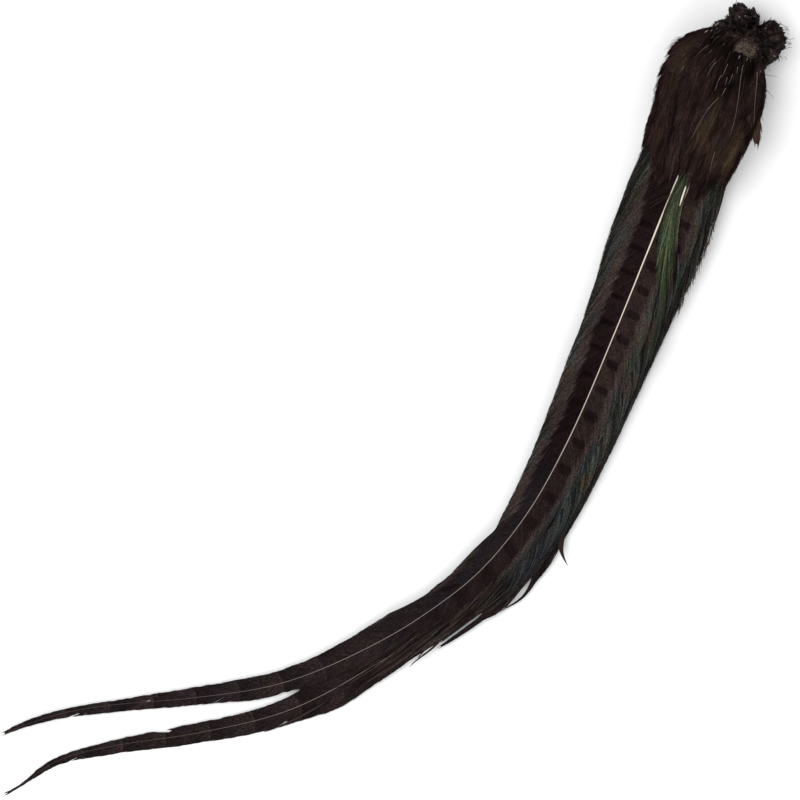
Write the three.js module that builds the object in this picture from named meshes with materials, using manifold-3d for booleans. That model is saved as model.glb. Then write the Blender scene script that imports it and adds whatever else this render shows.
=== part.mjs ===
// The whole tail of a cock pheasant, dried: eighteen long tail feathers, the coverts that lie over and
// under their bases, and the stump of skin and bone that they all grow from.
//
// Millimetres. The origin is under the root of the tail, on the surface that it lies on (z = 0).
// +X runs from the root towards the feather tips, +Z is up, and the tail bends in the XY plane.
//
// Every feather is laid out on one spine, the line of the uppermost feather's shaft: s is the distance
// along it from the root, and v the distance to its side, positive towards +Y. A feather rests on those
// below it, and sinks where one of them ends, so no two feathers meet.

import * as THREE from "three";
import { mergeVertices } from "three/addons/utils/BufferGeometryUtils.js";
import Module from "manifold-3d";

// ---------------------------------------------------------------- driving dimensions

// The spine, from the root to just past the longest tip.
const SPINE = [
  [0, 0],
  [59.5, 23.5],
  [99, 40],
  [137.5, 56.5],
  [183, 74],
  [221.5, 85.5],
  [257, 89],
  [292, 84],
  [325, 74.5],
  [361, 59.5],
  [394.5, 36],
  [428, 8.5],
  [448, -5],
  [480, -19.5],
];

// A blade's thickness on its shaft and at its edge, the height that its layer takes, and the number of
// flats on each side of the shaft, with the distance between its rings of points.
const TAIL = {
  start: 8.6,
  pitch: 0.75,
  shaft: 0.42,
  edge: 0.22,
  flats: 2,
  step: 20,
  vaneFrom: 30, // the bare quill ends here, and the vane reaches its width a run later
  vaneRun: 32,
};
const COVERT = { pitch: 0.55, shaft: 0.3, edge: 0.18, flats: 1, step: 9, sweep: 3 };
const SINK = 30; // how far past the end of a feather the ones above it come down
const ARCH = { height: 2.6, tipHeight: 1.1, at: 22, from: 140, to: 430 }; // a roof that flattens to the tips
const BED = { reach: 27.5, gap: 0.1 }; // the half width that the roof clears the ground by, and its clearance
const FORK = { from: 372, to: 414 }; // where the two longest feathers part, and the upper one comes down

// The two longest feathers, as [s, v] along the shaft and [s, width] on its two sides.
const CENTRAL_LEFT = {
  name: "central_tail_feather_left",
  start: TAIL.start,
  length: 514,
  shaft: [[0, 0], [514, 0]],
  left: [[30, 1], [60, 12], [90, 16], [130, 14], [165, 12], [200, 10], [250, 7.6], [300, 7.2], [322, 8.4],
    [346, 5.8], [380, 5.2], [420, 4.6], [440, 3.6], [462, 1.6], [490, 0.9], [514, 0.2]],
  right: [[30, 1], [62, 3], [82, 5], [105, 10], [135, 13.5], [200, 13], [280, 10], [340, 7], [380, 6],
    [400, 6.1], [420, 4.8], [465, 4.1], [480, 3.9], [500, 2], [514, 0.2]],
};
const CENTRAL_RIGHT = {
  name: "central_tail_feather_right",
  start: TAIL.start,
  length: 521,
  shaft: [[0, 5.2], [75, 6], [150, 6.8], [230, 7.2], [290, 7.6], [330, 8.9], [358, 11.8], [386, 14.4],
    [413, 16.4], [437, 17.8], [480, 20.2], [500, 21.2], [510, 22.4], [521, 27]],
  left: [[30, 1], [60, 10], [90, 12], [200, 12], [300, 9], [350, 7], [380, 6], [400, 5], [430, 4.4],
    [450, 3.7], [470, 2.4], [490, 1.9], [510, 1.4], [521, 0.2]],
  right: [[30, 1], [60, 10], [90, 12], [150, 11.5], [250, 10.5], [300, 8.5], [335, 8.3], [360, 8.9],
    [380, 6.2], [400, 5.5], [430, 4.3], [470, 3.5], [490, 2.1], [510, 1], [521, 0.2]],
};

// The other eight pairs, from the second to the outermost: [length, v at the root, in the middle and at
// the tip, width of the outer vane, width of the inner one].
const PAIRS_LEFT = [
  [345, -3, -1.5, 5, 9, 9],
  [307, -5.5, -6, -6.4, 7, 9],
  [262, -8, -8.2, -5.4, 7.2, 9],
  [226, -10, -9, -7, 7.5, 10],
  [196, -12, -10, -8, 8, 10],
  [166, -13.5, -11.5, -9.5, 8.5, 10],
  [138, -14.5, -12, -10.5, 8.5, 10],
  [116, -15, -12.5, -11.5, 8, 10],
];
const PAIRS_RIGHT = [
  [324, 8.5, 9, 15.6, 9, 9],
  [306, 10.5, 10.5, 18, 8.5, 9],
  [279, 12.5, 12.5, 22.8, 8, 10],
  [262, 14, 13.5, 22, 8, 10],
  [205, 15, 13, 14.5, 8, 10],
  [153, 15.5, 14.5, 18.5, 8, 10],
  [130, 15.5, 15.5, 17.5, 8.5, 10],
  [110, 15, 17, 19.5, 8.5, 10],
];

// The long green covert that crosses the two central feathers.
const LONG_COVERT = {
  name: "long_upper_covert",
  start: 9,
  length: 152,
  shaft: [[0, 3.5], [62, 3], [80, 4], [100, 7.4], [118, 11.8], [135, 15.4], [152, 17.6]],
  left: [[9, 0.5], [40, 3], [60, 3], [90, 4.6], [125, 4.4], [142, 2.6], [152, 0.2]],
  right: [[9, 0.5], [40, 3], [60, 3], [90, 4.6], [125, 4.4], [142, 2.6], [152, 0.2]],
};

// Rows of coverts from the deepest to the outermost, each from left to right:
// [start, v there, length, v at the tip, half width].
const UPPER_ROWS = [
  [[4, -11, 84, -15.5, 6.4], [4, -6, 80, -8.5, 6.2], [5, 0, 63, -1.5, 5.6], [4, 6, 84, 9.5, 6.2],
    [4, 11, 88, 17.5, 6]],
  [[1, -11, 66, -18, 6.2], [1, -6, 62, -11.5, 6], [2, -1, 57, -4, 5.6], [2, 4, 59, 5, 5.6],
    [1, 9, 72, 14.5, 5.8]],
  [[-3, -12, 52, -20.5, 6], [-2, -7, 48, -12.5, 5.8], [-1, -1, 46, -3, 5.6], [-1, 5, 52, 7.5, 5.6],
    [-1, 11, 62, 20.5, 5.4]],
  [[-6, -11, 38, -22, 5.6], [-4, -6, 36, -13, 5.4], [-3, 0, 35, -1.5, 5.2], [-3, 6, 38, 9, 5.2],
    [-2, 12, 46, 22.5, 4.8]],
  [[-9, -9, 24, -23, 5], [-6, -3, 22, -8.5, 4.8], [-5, 3, 23, 3.5, 4.6], [-4, 10, 28, 19, 4.6]],
];
const UNDER_ROWS = [
  [[9, -8, 62, -14, 6.4], [9, -3, 66, -4.5, 6.2], [9, 3, 66, 5, 6.2], [9, 8, 62, 14.5, 6.2]],
  [[9, -6, 82, -10, 6.6], [9, 0, 88, 0, 6.6], [9, 6, 84, 10.5, 6.6]],
];

// The stump: a flattened body with two knobs, [s, v, z, half length, half width, half height].
const STUMP = {
  front: 8.2,
  body: [-4, 1.5, 8.6, 15, 14, 9.4],
  knobs: [[-14.5, -3, 12.5, 6.8, 7.2, 9], [-12, 14.5, 11.5, 7.4, 7.4, 8.5], [-12, 5.5, 11, 5.5, 7.5, 8]],
  lump: 0.09, // depth of the folds as a share of the radius
  segments: 20,
  trim: { half: 60, height: 80 }, // the blocks that square off its front and its underside
};

const COLOURS = {
  tail: { color: 0x2a2422, roughness: 0.62 },
  green: { color: 0x26312a, roughness: 0.55 },
  covert: { color: 0x2b2321, roughness: 0.7 },
  skin: { color: 0x1d1719, roughness: 0.8 },
};

// ---------------------------------------------------------------- the spine and the layers

const clamp01 = (x) => Math.min(1, Math.max(0, x));
const smooth = (x) => clamp01(x) ** 2 * (3 - 2 * clamp01(x));
const mix = (a, b, t) => a + (b - a) * t;

// A value read off a list of [s, value] points, on straight lines between them.
function along(points, s) {
  const next = points.findIndex(([at]) => at >= s);
  if (next === 0) return points[0][1];
  if (next < 0) return points[points.length - 1][1];
  const [[s0, a], [s1, b]] = [points[next - 1], points[next]];
  return mix(a, b, (s - s0) / (s1 - s0));
}

const spine = new THREE.CatmullRomCurve3(SPINE.map(([x, y]) => new THREE.Vector3(x, y, 0)));
const SPINE_LENGTH = spine.getLength();

// The point at distance s along the spine, v to its side and z up.
function place(s, v, z) {
  const u = clamp01(s / SPINE_LENGTH);
  const tangent = spine.getTangentAt(u);
  const side = new THREE.Vector3(-tangent.y, tangent.x, 0);
  const beyond = s - u * SPINE_LENGTH;
  return spine.getPointAt(u).addScaledVector(tangent, beyond).addScaledVector(side, v).setZ(z);
}

function arch(s) {
  return mix(ARCH.height, ARCH.tipHeight, smooth((s - ARCH.from) / (ARCH.to - ARCH.from)));
}

// How far a layer has come down at v to the side of the spine.
const roofDrop = (s, v) => arch(s) * (v / ARCH.at) ** 2;

// The height of the lowest layer's middle line.
const bed = (s) => roofDrop(s, BED.reach) + BED.gap;

// The layers from the ground up. A layer may hold several feathers that don't cross each other.
const layers = [];
const longest = (feathers) => Math.max(...feathers.map((f) => f.length));

function addLayer(pitch, feathers, holdsTo = longest(feathers), sinksBy = holdsTo + SINK) {
  feathers.forEach((f) => (f.layer = layers.length));
  layers.push({ pitch, holdsTo, sinksBy });
}

// The height of a layer's middle line: what is under it, less what has ended by s.
function layerHeight(index, s) {
  const held = layers.slice(0, index).map(
    (l) => l.pitch * (1 - smooth((s - l.holdsTo) / (l.sinksBy - l.holdsTo))),
  );
  return bed(s) + held.reduce((sum, h) => sum + h, 0);
}

// ---------------------------------------------------------------- feathers

// One of the outer pairs: a shaft with a gentle sweep, and vanes that widen quickly and taper to a point.
function pairFeather(name, [length, root, middle, tip, outer, inner], side) {
  const shaft = [0, 0.25, 0.5, 0.75, 1].map((t) => {
    const sweep = t < 0.5 ? mix(root, middle, smooth(t * 2)) : mix(middle, tip, (t * 2 - 1) ** 2);
    return [t * length, sweep];
  });
  const taper = (width) => [
    [TAIL.vaneFrom, 1],
    [TAIL.vaneFrom + TAIL.vaneRun, width],
    [length * 0.62, width],
    [length * 0.82, width * 0.72],
    [length * 0.94, width * 0.34],
    [length, 0.2],
  ];
  const [left, right] = side < 0 ? [outer, inner] : [inner, outer];
  return { name, start: TAIL.start, length, shaft, left: taper(left), right: taper(right) };
}

// A short body feather: a straight shaft and a rounded vane.
function covertFeather(name, [start, root, length, tip, width]) {
  const t = (share) => mix(start, length, share);
  const shaft = [0, 0.2, 0.4, 0.7, 1].map((share) => [t(share), mix(tip, root, (1 - share) ** COVERT.sweep)]);
  const outline = [[start, 0.5], [t(0.2), width * 0.6], [t(0.45), width], [t(0.75), width * 0.9],
    [t(0.92), width * 0.5], [length, 0.2]];
  return { name, start, length, shaft, left: outline, right: outline };
}

// The stations where a feather has a ring of points: multiples of the step, so that feathers over each
// other bend at the same places.
function stations(start, length, step) {
  const between = [];
  for (let s = Math.ceil(start / step + 0.3) * step; s < length - step * 0.3; s += step) between.push(s);
  return [start, ...between, length];
}

// A thin closed blade, thickest along its shaft, with the same points across its top and its underside.
function bladeGeometry(feather, kind) {
  const rings = stations(feather.start, feather.length, kind.step);
  const across = Array.from({ length: kind.flats * 2 + 1 }, (_, i) => i / kind.flats - 1);
  const points = [];
  for (const s of rings) {
    const middle = along(feather.shaft, s);
    const height = layerHeight(feather.layer, s);
    const row = across.map((a) => {
      const v = middle + a * along(a < 0 ? feather.left : feather.right, s);
      const thickness = mix(kind.shaft, kind.edge, Math.abs(a));
      return { v, z: height - roofDrop(s, v), half: thickness / 2 };
    });
    row.forEach(({ v, z, half }) => points.push(place(s, v, z + half)));
    row.reverse().forEach(({ v, z, half }) => points.push(place(s, v, z - half)));
  }
  const around = across.length * 2;
  const index = [];
  for (let ring = 0; ring < rings.length - 1; ring++)
    for (let i = 0; i < around; i++) {
      const a = ring * around + i;
      const b = ring * around + ((i + 1) % around);
      index.push(a, a + around, b, b, a + around, b + around);
    }
  const last = (rings.length - 1) * around;
  for (let i = 0; i < across.length - 1; i++) {
    const far = around - 1 - i;
    index.push(i, i + 1, far, i + 1, far - 1, far);
    index.push(last + i, last + far, last + i + 1, last + i + 1, last + far, last + far - 1);
  }
  return new THREE.BufferGeometry().setFromPoints(points).setIndex(index);
}

// ---------------------------------------------------------------- the stump

const wasm = await Module();
wasm.setup();

function solidFrom(geometry) {
  geometry.deleteAttribute("normal");
  geometry.deleteAttribute("uv");
  const merged = mergeVertices(geometry, 1e-4);
  return new wasm.Manifold(
    new wasm.Mesh({
      numProp: 3,
      vertProperties: new Float32Array(merged.attributes.position.array),
      triVerts: new Uint32Array(merged.index.array),
    }),
  );
}

function geometryFrom(solid) {
  const { vertProperties, triVerts } = solid.getMesh();
  return new THREE.BufferGeometry()
    .setAttribute("position", new THREE.BufferAttribute(new Float32Array(vertProperties), 3))
    .setIndex(new THREE.BufferAttribute(new Uint32Array(triVerts), 1));
}

// A ball of dried skin, pushed in and out by a few crossing waves, in the spine's own directions.
function lumpySolid([s, v, z, halfLength, halfWidth, halfHeight], segments) {
  const ball = new THREE.SphereGeometry(1, segments, Math.round(segments * 0.6));
  const position = ball.attributes.position;
  const p = new THREE.Vector3();
  for (let i = 0; i < position.count; i++) {
    p.fromBufferAttribute(position, i);
    const crossFolds = Math.sin(4.1 * p.x + 1.7 * p.z) * Math.sin(3.3 * p.y - 1.2 * p.x);
    const ringFolds = 0.6 * Math.sin(5.2 * p.z + 2 * p.y);
    p.multiplyScalar(1 + STUMP.lump * (crossFolds + ringFolds));
    const at = place(s + p.x * halfLength, v + p.y * halfWidth, z + p.z * halfHeight);
    position.setXYZ(i, at.x, at.y, at.z);
  }
  return solidFrom(ball);
}

// A block whose back is square to the spine at s, and whose top is at z.
function blockFrom(s, z) {
  const { half, height } = STUMP.trim;
  const block = new THREE.BoxGeometry(2 * half, 2 * half, height);
  block.translate(half, 0, z - height / 2);
  const { x, y } = spine.getTangentAt(0);
  block.rotateZ(Math.atan2(y, x));
  const corner = place(s, 0, 0);
  block.translate(corner.x, corner.y, 0);
  return solidFrom(block);
}

function stumpGeometry() {
  const body = lumpySolid(STUMP.body, STUMP.segments);
  const whole = STUMP.knobs.reduce((sum, knob) => sum.add(lumpySolid(knob, STUMP.segments * 0.7)), body);
  const ahead = blockFrom(STUMP.front, STUMP.trim.height / 2);
  const below = blockFrom(-STUMP.trim.half, 0);
  return geometryFrom(whole.subtract(ahead).subtract(below));
}

// ---------------------------------------------------------------- assembly

// Rows of coverts. Neighbours overlap, so every other one in a row lies a layer higher.
function addRows(prefix, rows) {
  return rows.flatMap((row, r) => {
    const feathers = row.map((spec, i) => covertFeather(`${prefix}_${r + 1}_${i + 1}`, spec));
    [0, 1].forEach((odd) => addLayer(COVERT.pitch, feathers.filter((_, i) => i % 2 === odd)));
    return feathers;
  });
}

const tailFeathers = [];
const underCoverts = addRows("under_covert", UNDER_ROWS);
for (let pair = PAIRS_LEFT.length - 1; pair >= 0; pair--) {
  const left = pairFeather(`tail_feather_left_${pair + 2}`, PAIRS_LEFT[pair], -1);
  const right = pairFeather(`tail_feather_right_${pair + 2}`, PAIRS_RIGHT[pair], 1);
  for (const feather of [left, right]) {
    addLayer(TAIL.pitch, [feather]);
    tailFeathers.push(feather);
  }
}
addLayer(TAIL.pitch, [CENTRAL_RIGHT], FORK.from, FORK.to);
addLayer(TAIL.pitch, [CENTRAL_LEFT]);
tailFeathers.push(CENTRAL_RIGHT, CENTRAL_LEFT);
addLayer(COVERT.pitch, [LONG_COVERT]);
const upperCoverts = addRows("upper_covert", UPPER_ROWS);

function meshOf(name, geometry, colour) {
  const mesh = new THREE.Mesh(geometry, new THREE.MeshStandardMaterial({ ...colour, metalness: 0 }));
  mesh.name = name;
  return mesh;
}

const tail = new THREE.Group();
tail.add(meshOf("tail_stump", stumpGeometry(), COLOURS.skin));
for (const feather of tailFeathers)
  tail.add(meshOf(feather.name, bladeGeometry(feather, TAIL), COLOURS.tail));
tail.add(meshOf(LONG_COVERT.name, bladeGeometry(LONG_COVERT, COVERT), COLOURS.green));
for (const feather of [...upperCoverts, ...underCoverts])
  tail.add(meshOf(feather.name, bladeGeometry(feather, COVERT), COLOURS.covert));

export default tail;
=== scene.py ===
"""The whole dried tail of a dark cock pheasant, feather by feather and barb by barb.

Every feather is laid out on one spine, the line of the uppermost feather's shaft: s is the distance along
it from the root and v the distance to its side, positive towards +Y. Sizes are in millimetres until a
piece's points are put into its mesh, which is in metres.
"""

import itertools
import math

import bpy
import numpy as np
from bpy.props import FloatProperty, FloatVectorProperty, IntProperty, PointerProperty
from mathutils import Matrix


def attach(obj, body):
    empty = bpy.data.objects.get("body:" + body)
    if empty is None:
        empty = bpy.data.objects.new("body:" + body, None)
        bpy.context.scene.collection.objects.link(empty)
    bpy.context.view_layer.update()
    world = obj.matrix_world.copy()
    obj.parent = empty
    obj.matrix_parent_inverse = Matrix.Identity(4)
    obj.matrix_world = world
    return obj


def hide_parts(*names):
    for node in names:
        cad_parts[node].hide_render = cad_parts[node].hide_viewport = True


bl_info = {
    "name": "Pheasant tail",
    "version": (1, 0, 0),
    "blender": (4, 5, 0),
    "location": "3D View > Sidebar > Tail",
    "description": "Makes a dried pheasant tail from its stump, shafts, vanes and barbs",
    "category": "Object",
}

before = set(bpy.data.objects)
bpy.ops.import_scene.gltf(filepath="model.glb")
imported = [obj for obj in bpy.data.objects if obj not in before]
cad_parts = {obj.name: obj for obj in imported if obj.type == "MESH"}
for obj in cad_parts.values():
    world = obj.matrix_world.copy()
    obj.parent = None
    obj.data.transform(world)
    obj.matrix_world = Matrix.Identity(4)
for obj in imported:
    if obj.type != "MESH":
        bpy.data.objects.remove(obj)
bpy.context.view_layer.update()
MM = 0.001

# ---------------------------------------------------------------- the spine

SPINE = [
    (0, 0),
    (59.5, 23.5),
    (99, 40),
    (137.5, 56.5),
    (183, 74),
    (221.5, 85.5),
    (257, 89),
    (292, 84),
    (325, 74.5),
    (361, 59.5),
    (394.5, 36),
    (428, 8.5),
    (448, -5),
    (480, -19.5),
]
GRID_STEP = 0.5
BEFORE_ROOT, PAST_TIPS = 60, 60  # how far the spine is carried on, straight, at its two ends
ROOF = {"height": 2.6, "tip_height": 1.1, "at": 22, "start": 140, "end": 430}
FRONT_OF_STUMP = 8.2


def smooth(x):
    """The smooth step 3x^2 - 2x^3, with x kept between 0 and 1."""
    x = np.clip(x, 0, 1)
    return x * x * (3 - 2 * x)


def spine_grid():
    """The spine as points at even steps, with the angle of its direction at each.

    Between two driving points it is a centripetal Catmull-Rom curve: each point is blended from its four
    neighbours by how the parameter lies between their knots, which are the square roots of the distances
    between them.
    """
    p = np.array(SPINE, float)
    p = np.vstack([2 * p[0] - p[1], p, 2 * p[-1] - p[-2]])
    pieces = []
    for a, b, c, d in zip(p, p[1:], p[2:], p[3:]):
        knots = np.cumsum([0] + [np.linalg.norm(y - x) ** 0.5 for x, y in ((a, b), (b, c), (c, d))])
        t = np.linspace(knots[1], knots[2], 160, endpoint=False)[:, None]

        def blend(x, y, i, j):
            return (knots[j] - t) / (knots[j] - knots[i]) * x + (t - knots[i]) / (knots[j] - knots[i]) * y

        ab, bc, cd = blend(a, b, 0, 1), blend(b, c, 1, 2), blend(c, d, 2, 3)
        pieces.append(blend(blend(ab, bc, 0, 2), blend(bc, cd, 1, 3), 1, 2))
    line = np.vstack(pieces + [p[-2:-1]])
    length = np.concatenate([[0], np.cumsum(np.linalg.norm(np.diff(line, axis=0), axis=1))])
    inside = np.arange(0, length[-1], GRID_STEP)
    even = np.stack([np.interp(inside, length, line[:, k]) for k in (0, 1)], 1)
    first, last = even[1] - even[0], even[-1] - even[-2]
    before = np.arange(-round(BEFORE_ROOT / GRID_STEP), 0)[:, None]
    after = np.arange(1, round(PAST_TIPS / GRID_STEP))[:, None]
    even = np.vstack([even[0] + before * first, even, even[-1] + after * last])
    way = np.gradient(even, axis=0)
    return even, blurred(np.unwrap(np.arctan2(way[:, 1], way[:, 0])), 3)


def blurred(values, reach):
    """The values of the grid blurred by a bell curve whose half width is reach, in millimetres."""
    taps = np.arange(-round(3 * reach / GRID_STEP), round(3 * reach / GRID_STEP) + 1) * GRID_STEP
    bell = np.exp(-0.5 * (taps / reach) ** 2)
    padded = np.pad(values, len(taps) // 2, mode="edge")
    return np.convolve(padded, bell / bell.sum(), mode="valid")


LINE, HEADING = spine_grid()
GRID = np.arange(len(LINE)) * GRID_STEP - BEFORE_ROOT


def place(s, v, z):
    """The point at distance s along the spine, v to its side and z up, for arrays of any one shape."""
    angle = np.interp(s, GRID, HEADING)
    x = np.interp(s, GRID, LINE[:, 0]) - v * np.sin(angle)
    y = np.interp(s, GRID, LINE[:, 1]) + v * np.cos(angle)
    return np.stack([x, y, np.broadcast_to(z, x.shape)], -1)


def unplace(points):
    """The s and v of points, from the nearest grid point of the spine and the directions there."""
    near = ((points[:, None, :2] - LINE) ** 2).sum(-1).argmin(1)
    away = points[:, :2] - LINE[near]
    cos, sin = np.cos(HEADING[near]), np.sin(HEADING[near])
    return GRID[near] + away[:, 0] * cos + away[:, 1] * sin, away[:, 1] * cos - away[:, 0] * sin


def roof_drop(s, v):
    """How far the arched tail comes down at v to the side: its height there times (v / 22 mm) squared."""
    share = smooth((s - ROOF["start"]) / (ROOF["end"] - ROOF["start"]))
    return (ROOF["height"] + (ROOF["tip_height"] - ROOF["height"]) * share) * (v / ROOF["at"]) ** 2


# ---------------------------------------------------------------- noise


def noise(points, seed):
    """Smooth noise between -1 and 1 in three dimensions.

    Each corner of a unit lattice has a random value, made by mixing the bits of its whole coordinates,
    and the eight corners round a point are blended by smooth steps.
    """
    cell = np.floor(points).astype(np.int64)
    part = smooth(points - cell)
    total = np.zeros(points.shape[:-1])
    for corner in itertools.product((0, 1), repeat=3):
        x, y, z = np.moveaxis(cell + corner, -1, 0)
        bits = (x * 73856093) ^ (y * 19349663) ^ (z * 83492791) ^ (seed * 83492789)
        bits = ((bits ^ (bits >> 13)) * 1274126177) & 0x7FFFFFFF
        bits = ((bits ^ (bits >> 15)) * 40503) & 0x7FFFFF
        weight = np.prod(np.where(corner, part, 1 - part), axis=-1)
        total += weight * (bits / 0x3FFFFF - 1)
    return total


def ripple(x, size, seed):
    """Smooth noise of one number, with hills about size apart."""
    x = np.asarray(x, float) / size
    return noise(np.stack([x, np.full_like(x, 0.37), np.full_like(x, 0.71)], -1), seed)


# ---------------------------------------------------------------- meshes


ATTRIBUTES = ("spot", "tone", "tint")


class Skin:
    """Grids of points gathered into one mesh, with their map, their attributes and their materials."""

    def __init__(self):
        self.points = []
        self.attributes = {label: [] for label in ATTRIBUTES}
        self.faces = {3: [], 4: []}  # corner indices, by the number of corners
        self.maps = {3: [], 4: []}
        self.slots = {3: [], 4: []}
        self.count = 0

    def add(self, points, uv, attributes, slot=0, wrap=False):
        """Adds grids: points is (grids, rows, columns, 3), and the other arrays match it.

        Rows run along a strand and columns across it to the left, so that faces look up. With wrap the
        last column meets the first, uv has one column more, and the two ends are closed by fans.
        """
        grids, rows, columns = points.shape[:3]
        index = np.arange(points[..., 0].size).reshape(grids, rows, columns) + self.count
        if wrap:
            index = np.concatenate([index, index[:, :, :1]], 2)
        self._gather(points, attributes)
        for store, grid in ((self.faces[4], index), (self.maps[4], uv)):
            corners = [grid[:, :-1, :-1], grid[:, 1:, :-1], grid[:, 1:, 1:], grid[:, :-1, 1:]]
            store.append(np.stack(corners, 3).reshape((-1, 4) + grid.shape[3:]))
        self.slots[4].append(np.full(len(self.faces[4][-1]), slot))
        if wrap:
            for row, turn in ((0, 1), (-1, -1)):
                self._close(points, uv, attributes, index, row, turn, slot)

    def _gather(self, points, attributes):
        """Keeps the points of a grid and what goes with them."""
        self.points.append(points.reshape(-1, 3))
        for label, kept in self.attributes.items():
            kept.append(attributes.get(label, np.zeros_like(points)).reshape(-1, 3))
        self.count += points[..., 0].size

    def _close(self, points, uv, attributes, index, row, turn, slot):
        """Closes one end of tubes by a fan of triangles round its middle."""
        middle = np.arange(len(points)) + self.count
        self._gather(points[:, row].mean(1), {label: a[:, row].mean(1) for label, a in attributes.items()})
        ring, ring_uv = index[:, row][:, ::turn], uv[:, row][:, ::turn]
        tip = np.broadcast_to(middle[:, None], ring[:, 1:].shape)
        tip_uv = np.broadcast_to(ring_uv.mean(1)[:, None], ring_uv[:, 1:].shape)
        self.faces[3].append(np.stack([ring[:, :-1], ring[:, 1:], tip], 2).reshape(-1, 3))
        self.maps[3].append(np.stack([ring_uv[:, :-1], ring_uv[:, 1:], tip_uv], 2).reshape(-1, 3, 2))
        self.slots[3].append(np.full(len(self.faces[3][-1]), slot))

    def build(self, name, materials, replaces=()):
        """Makes the object, rides it on the tail's one body and hides the parts of the frame that it stands
        for.
        """
        mesh = bpy.data.meshes.new(name)
        points = np.concatenate(self.points) * MM
        mesh.vertices.add(len(points))
        mesh.vertices.foreach_set("co", points.astype(np.float32).ravel())
        corners, starts, slots, uv = [], [], [], []
        begin = 0
        for sides in (4, 3):
            if not self.faces[sides]:
                continue
            faces = np.concatenate(self.faces[sides])
            corners.append(faces.ravel())
            starts.append(begin + np.arange(len(faces)) * sides)
            begin += faces.size
            slots.append(np.concatenate(self.slots[sides]))
            uv.append(np.concatenate(self.maps[sides]).reshape(-1, 2))
        corners, starts = np.concatenate(corners), np.concatenate(starts)
        mesh.loops.add(len(corners))
        mesh.loops.foreach_set("vertex_index", corners.astype(np.int32))
        mesh.polygons.add(len(starts))
        mesh.polygons.foreach_set("loop_start", starts.astype(np.int32))
        mesh.polygons.foreach_set("material_index", np.concatenate(slots).astype(np.int32))
        mesh.polygons.foreach_set("use_smooth", np.ones(len(starts), bool))
        mesh.update(calc_edges=True)
        layer = mesh.uv_layers.new(name="OFBake")
        layer.data.foreach_set("uv", np.concatenate(uv).astype(np.float32).ravel())
        for label, values in self.attributes.items():
            attribute = mesh.attributes.new(label, "FLOAT_VECTOR", "POINT")
            attribute.data.foreach_set("vector", np.concatenate(values).astype(np.float32).ravel())
        for material in materials:
            mesh.materials.append(material)
        piece = bpy.data.objects.new(name, mesh)
        bpy.context.scene.collection.objects.link(piece)
        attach(piece, "root")
        if replaces:
            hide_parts(*replaces)
        return piece


# ---------------------------------------------------------------- feathers

# How a vane's barbs are set. spacing is between their roots on the shaft; slant is how far a barb runs
# along the shaft for each millimetre across it; bow is how soon it turns along the shaft. Barbs hang
# together in locks of a size between the two given, drawn together by pull at their ends, and past loose
# they are free hairs. Between the two places of firm the vane closes up and stays closed to its edge.
# uneven is how much the barbs' reach varies, ragged and jag the same for the vane's edge where it is loose
# and where it is firm, wave how far it lifts, hair the width of a loose barb, tip_gap the bare end of the
# shaft, and web the share of the breadth that the hooked barbules close.
CENTRAL_VANE = {
    "spacing": 0.4,
    "slant": 2.4,
    "least": 9,
    "bow": 1.8,
    "rows": 12,
    "columns": 2,
    "loose": 0.5,
    "locks": (2.5, 8),
    "pull": 0.3,
    "wisps": (0.6, 1.8),
    "wisp_pull": 0.7,
    "firm": (210, 300),
    "ragged": 0.012,
    "uneven": 0.03,
    "wave": 0.12,
    "hair": 0.13,
    "tip_gap": 3,
    "web": 0.93,
    "jag": 0.22,
}
TAIL_VANE = CENTRAL_VANE | {
    "spacing": 0.55, "slant": 4.0, "rows": 9, "loose": 0.45, "locks": (2, 7), "pull": 0.25,
    "firm": (900, 1000), "ragged": 0.018, "wave": 0.1, "web": 0.94,
}
COVERT_VANE = CENTRAL_VANE | {
    "spacing": 0.34, "slant": 6.0, "least": 14, "bow": 1.3, "rows": 9, "loose": 0.3, "locks": (1.2, 4),
    "pull": 0.2, "wisps": (0.5, 1.4), "wisp_pull": 0.5, "firm": (900, 1000), "ragged": 0.05, "wave": 0.15,
    "tip_gap": 5, "web": 0.86, "uneven": 0.22,
}
TIP_HAIR = 0.05  # the width of a barb's tip
LAP = 1.6  # a barb's width as a share of the room between it and the next
TILT = 0.28  # each barb's outer edge lies over the next
CLOSED = 0.94  # how far out a closed vane holds together
SLOW_START = 0.28  # how much slower a barb runs along the shaft at first
WEB_BELOW, WEB_STEP, WEB_COLUMNS = 0.1, 1.3, 5
# Where each part of a feather lies on its map: the two vanes, the webs under them and the shaft.
VANE_MAP, VANE_MAP_HEIGHT = {-1: 0.01, 1: 0.63}, 0.36
WEB_MAP = {-1: (0.47, 0.38), 1: (0.53, 0.62)}
SHAFT_MAP = (0.485, 0.515)


class Blade:
    """Where a feather lies: its shaft, its two widths and its layer's height, as curves over s."""

    def __init__(self, start, length, shaft, left, right, height):
        self.start, self.length = start, length
        self.shaft, self.left, self.right, self.height = shaft, left, right, height

    def side(self, way):
        return self.left if way < 0 else self.right

    def surface(self, s, v):
        """The height of the feather's middle surface."""
        return self.height(s) - roof_drop(s, v)


def curve(stations, values, blur=4.0):
    """A smooth curve through values at stations along s: straight lines, blurred."""
    steps = blurred(np.interp(GRID, stations, values), blur)
    return lambda s: np.interp(s, GRID, steps)


def through(table, blur=4.0):
    """A smooth curve through a table of (s, value)."""
    return curve(*np.array(table).T, blur)


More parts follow.
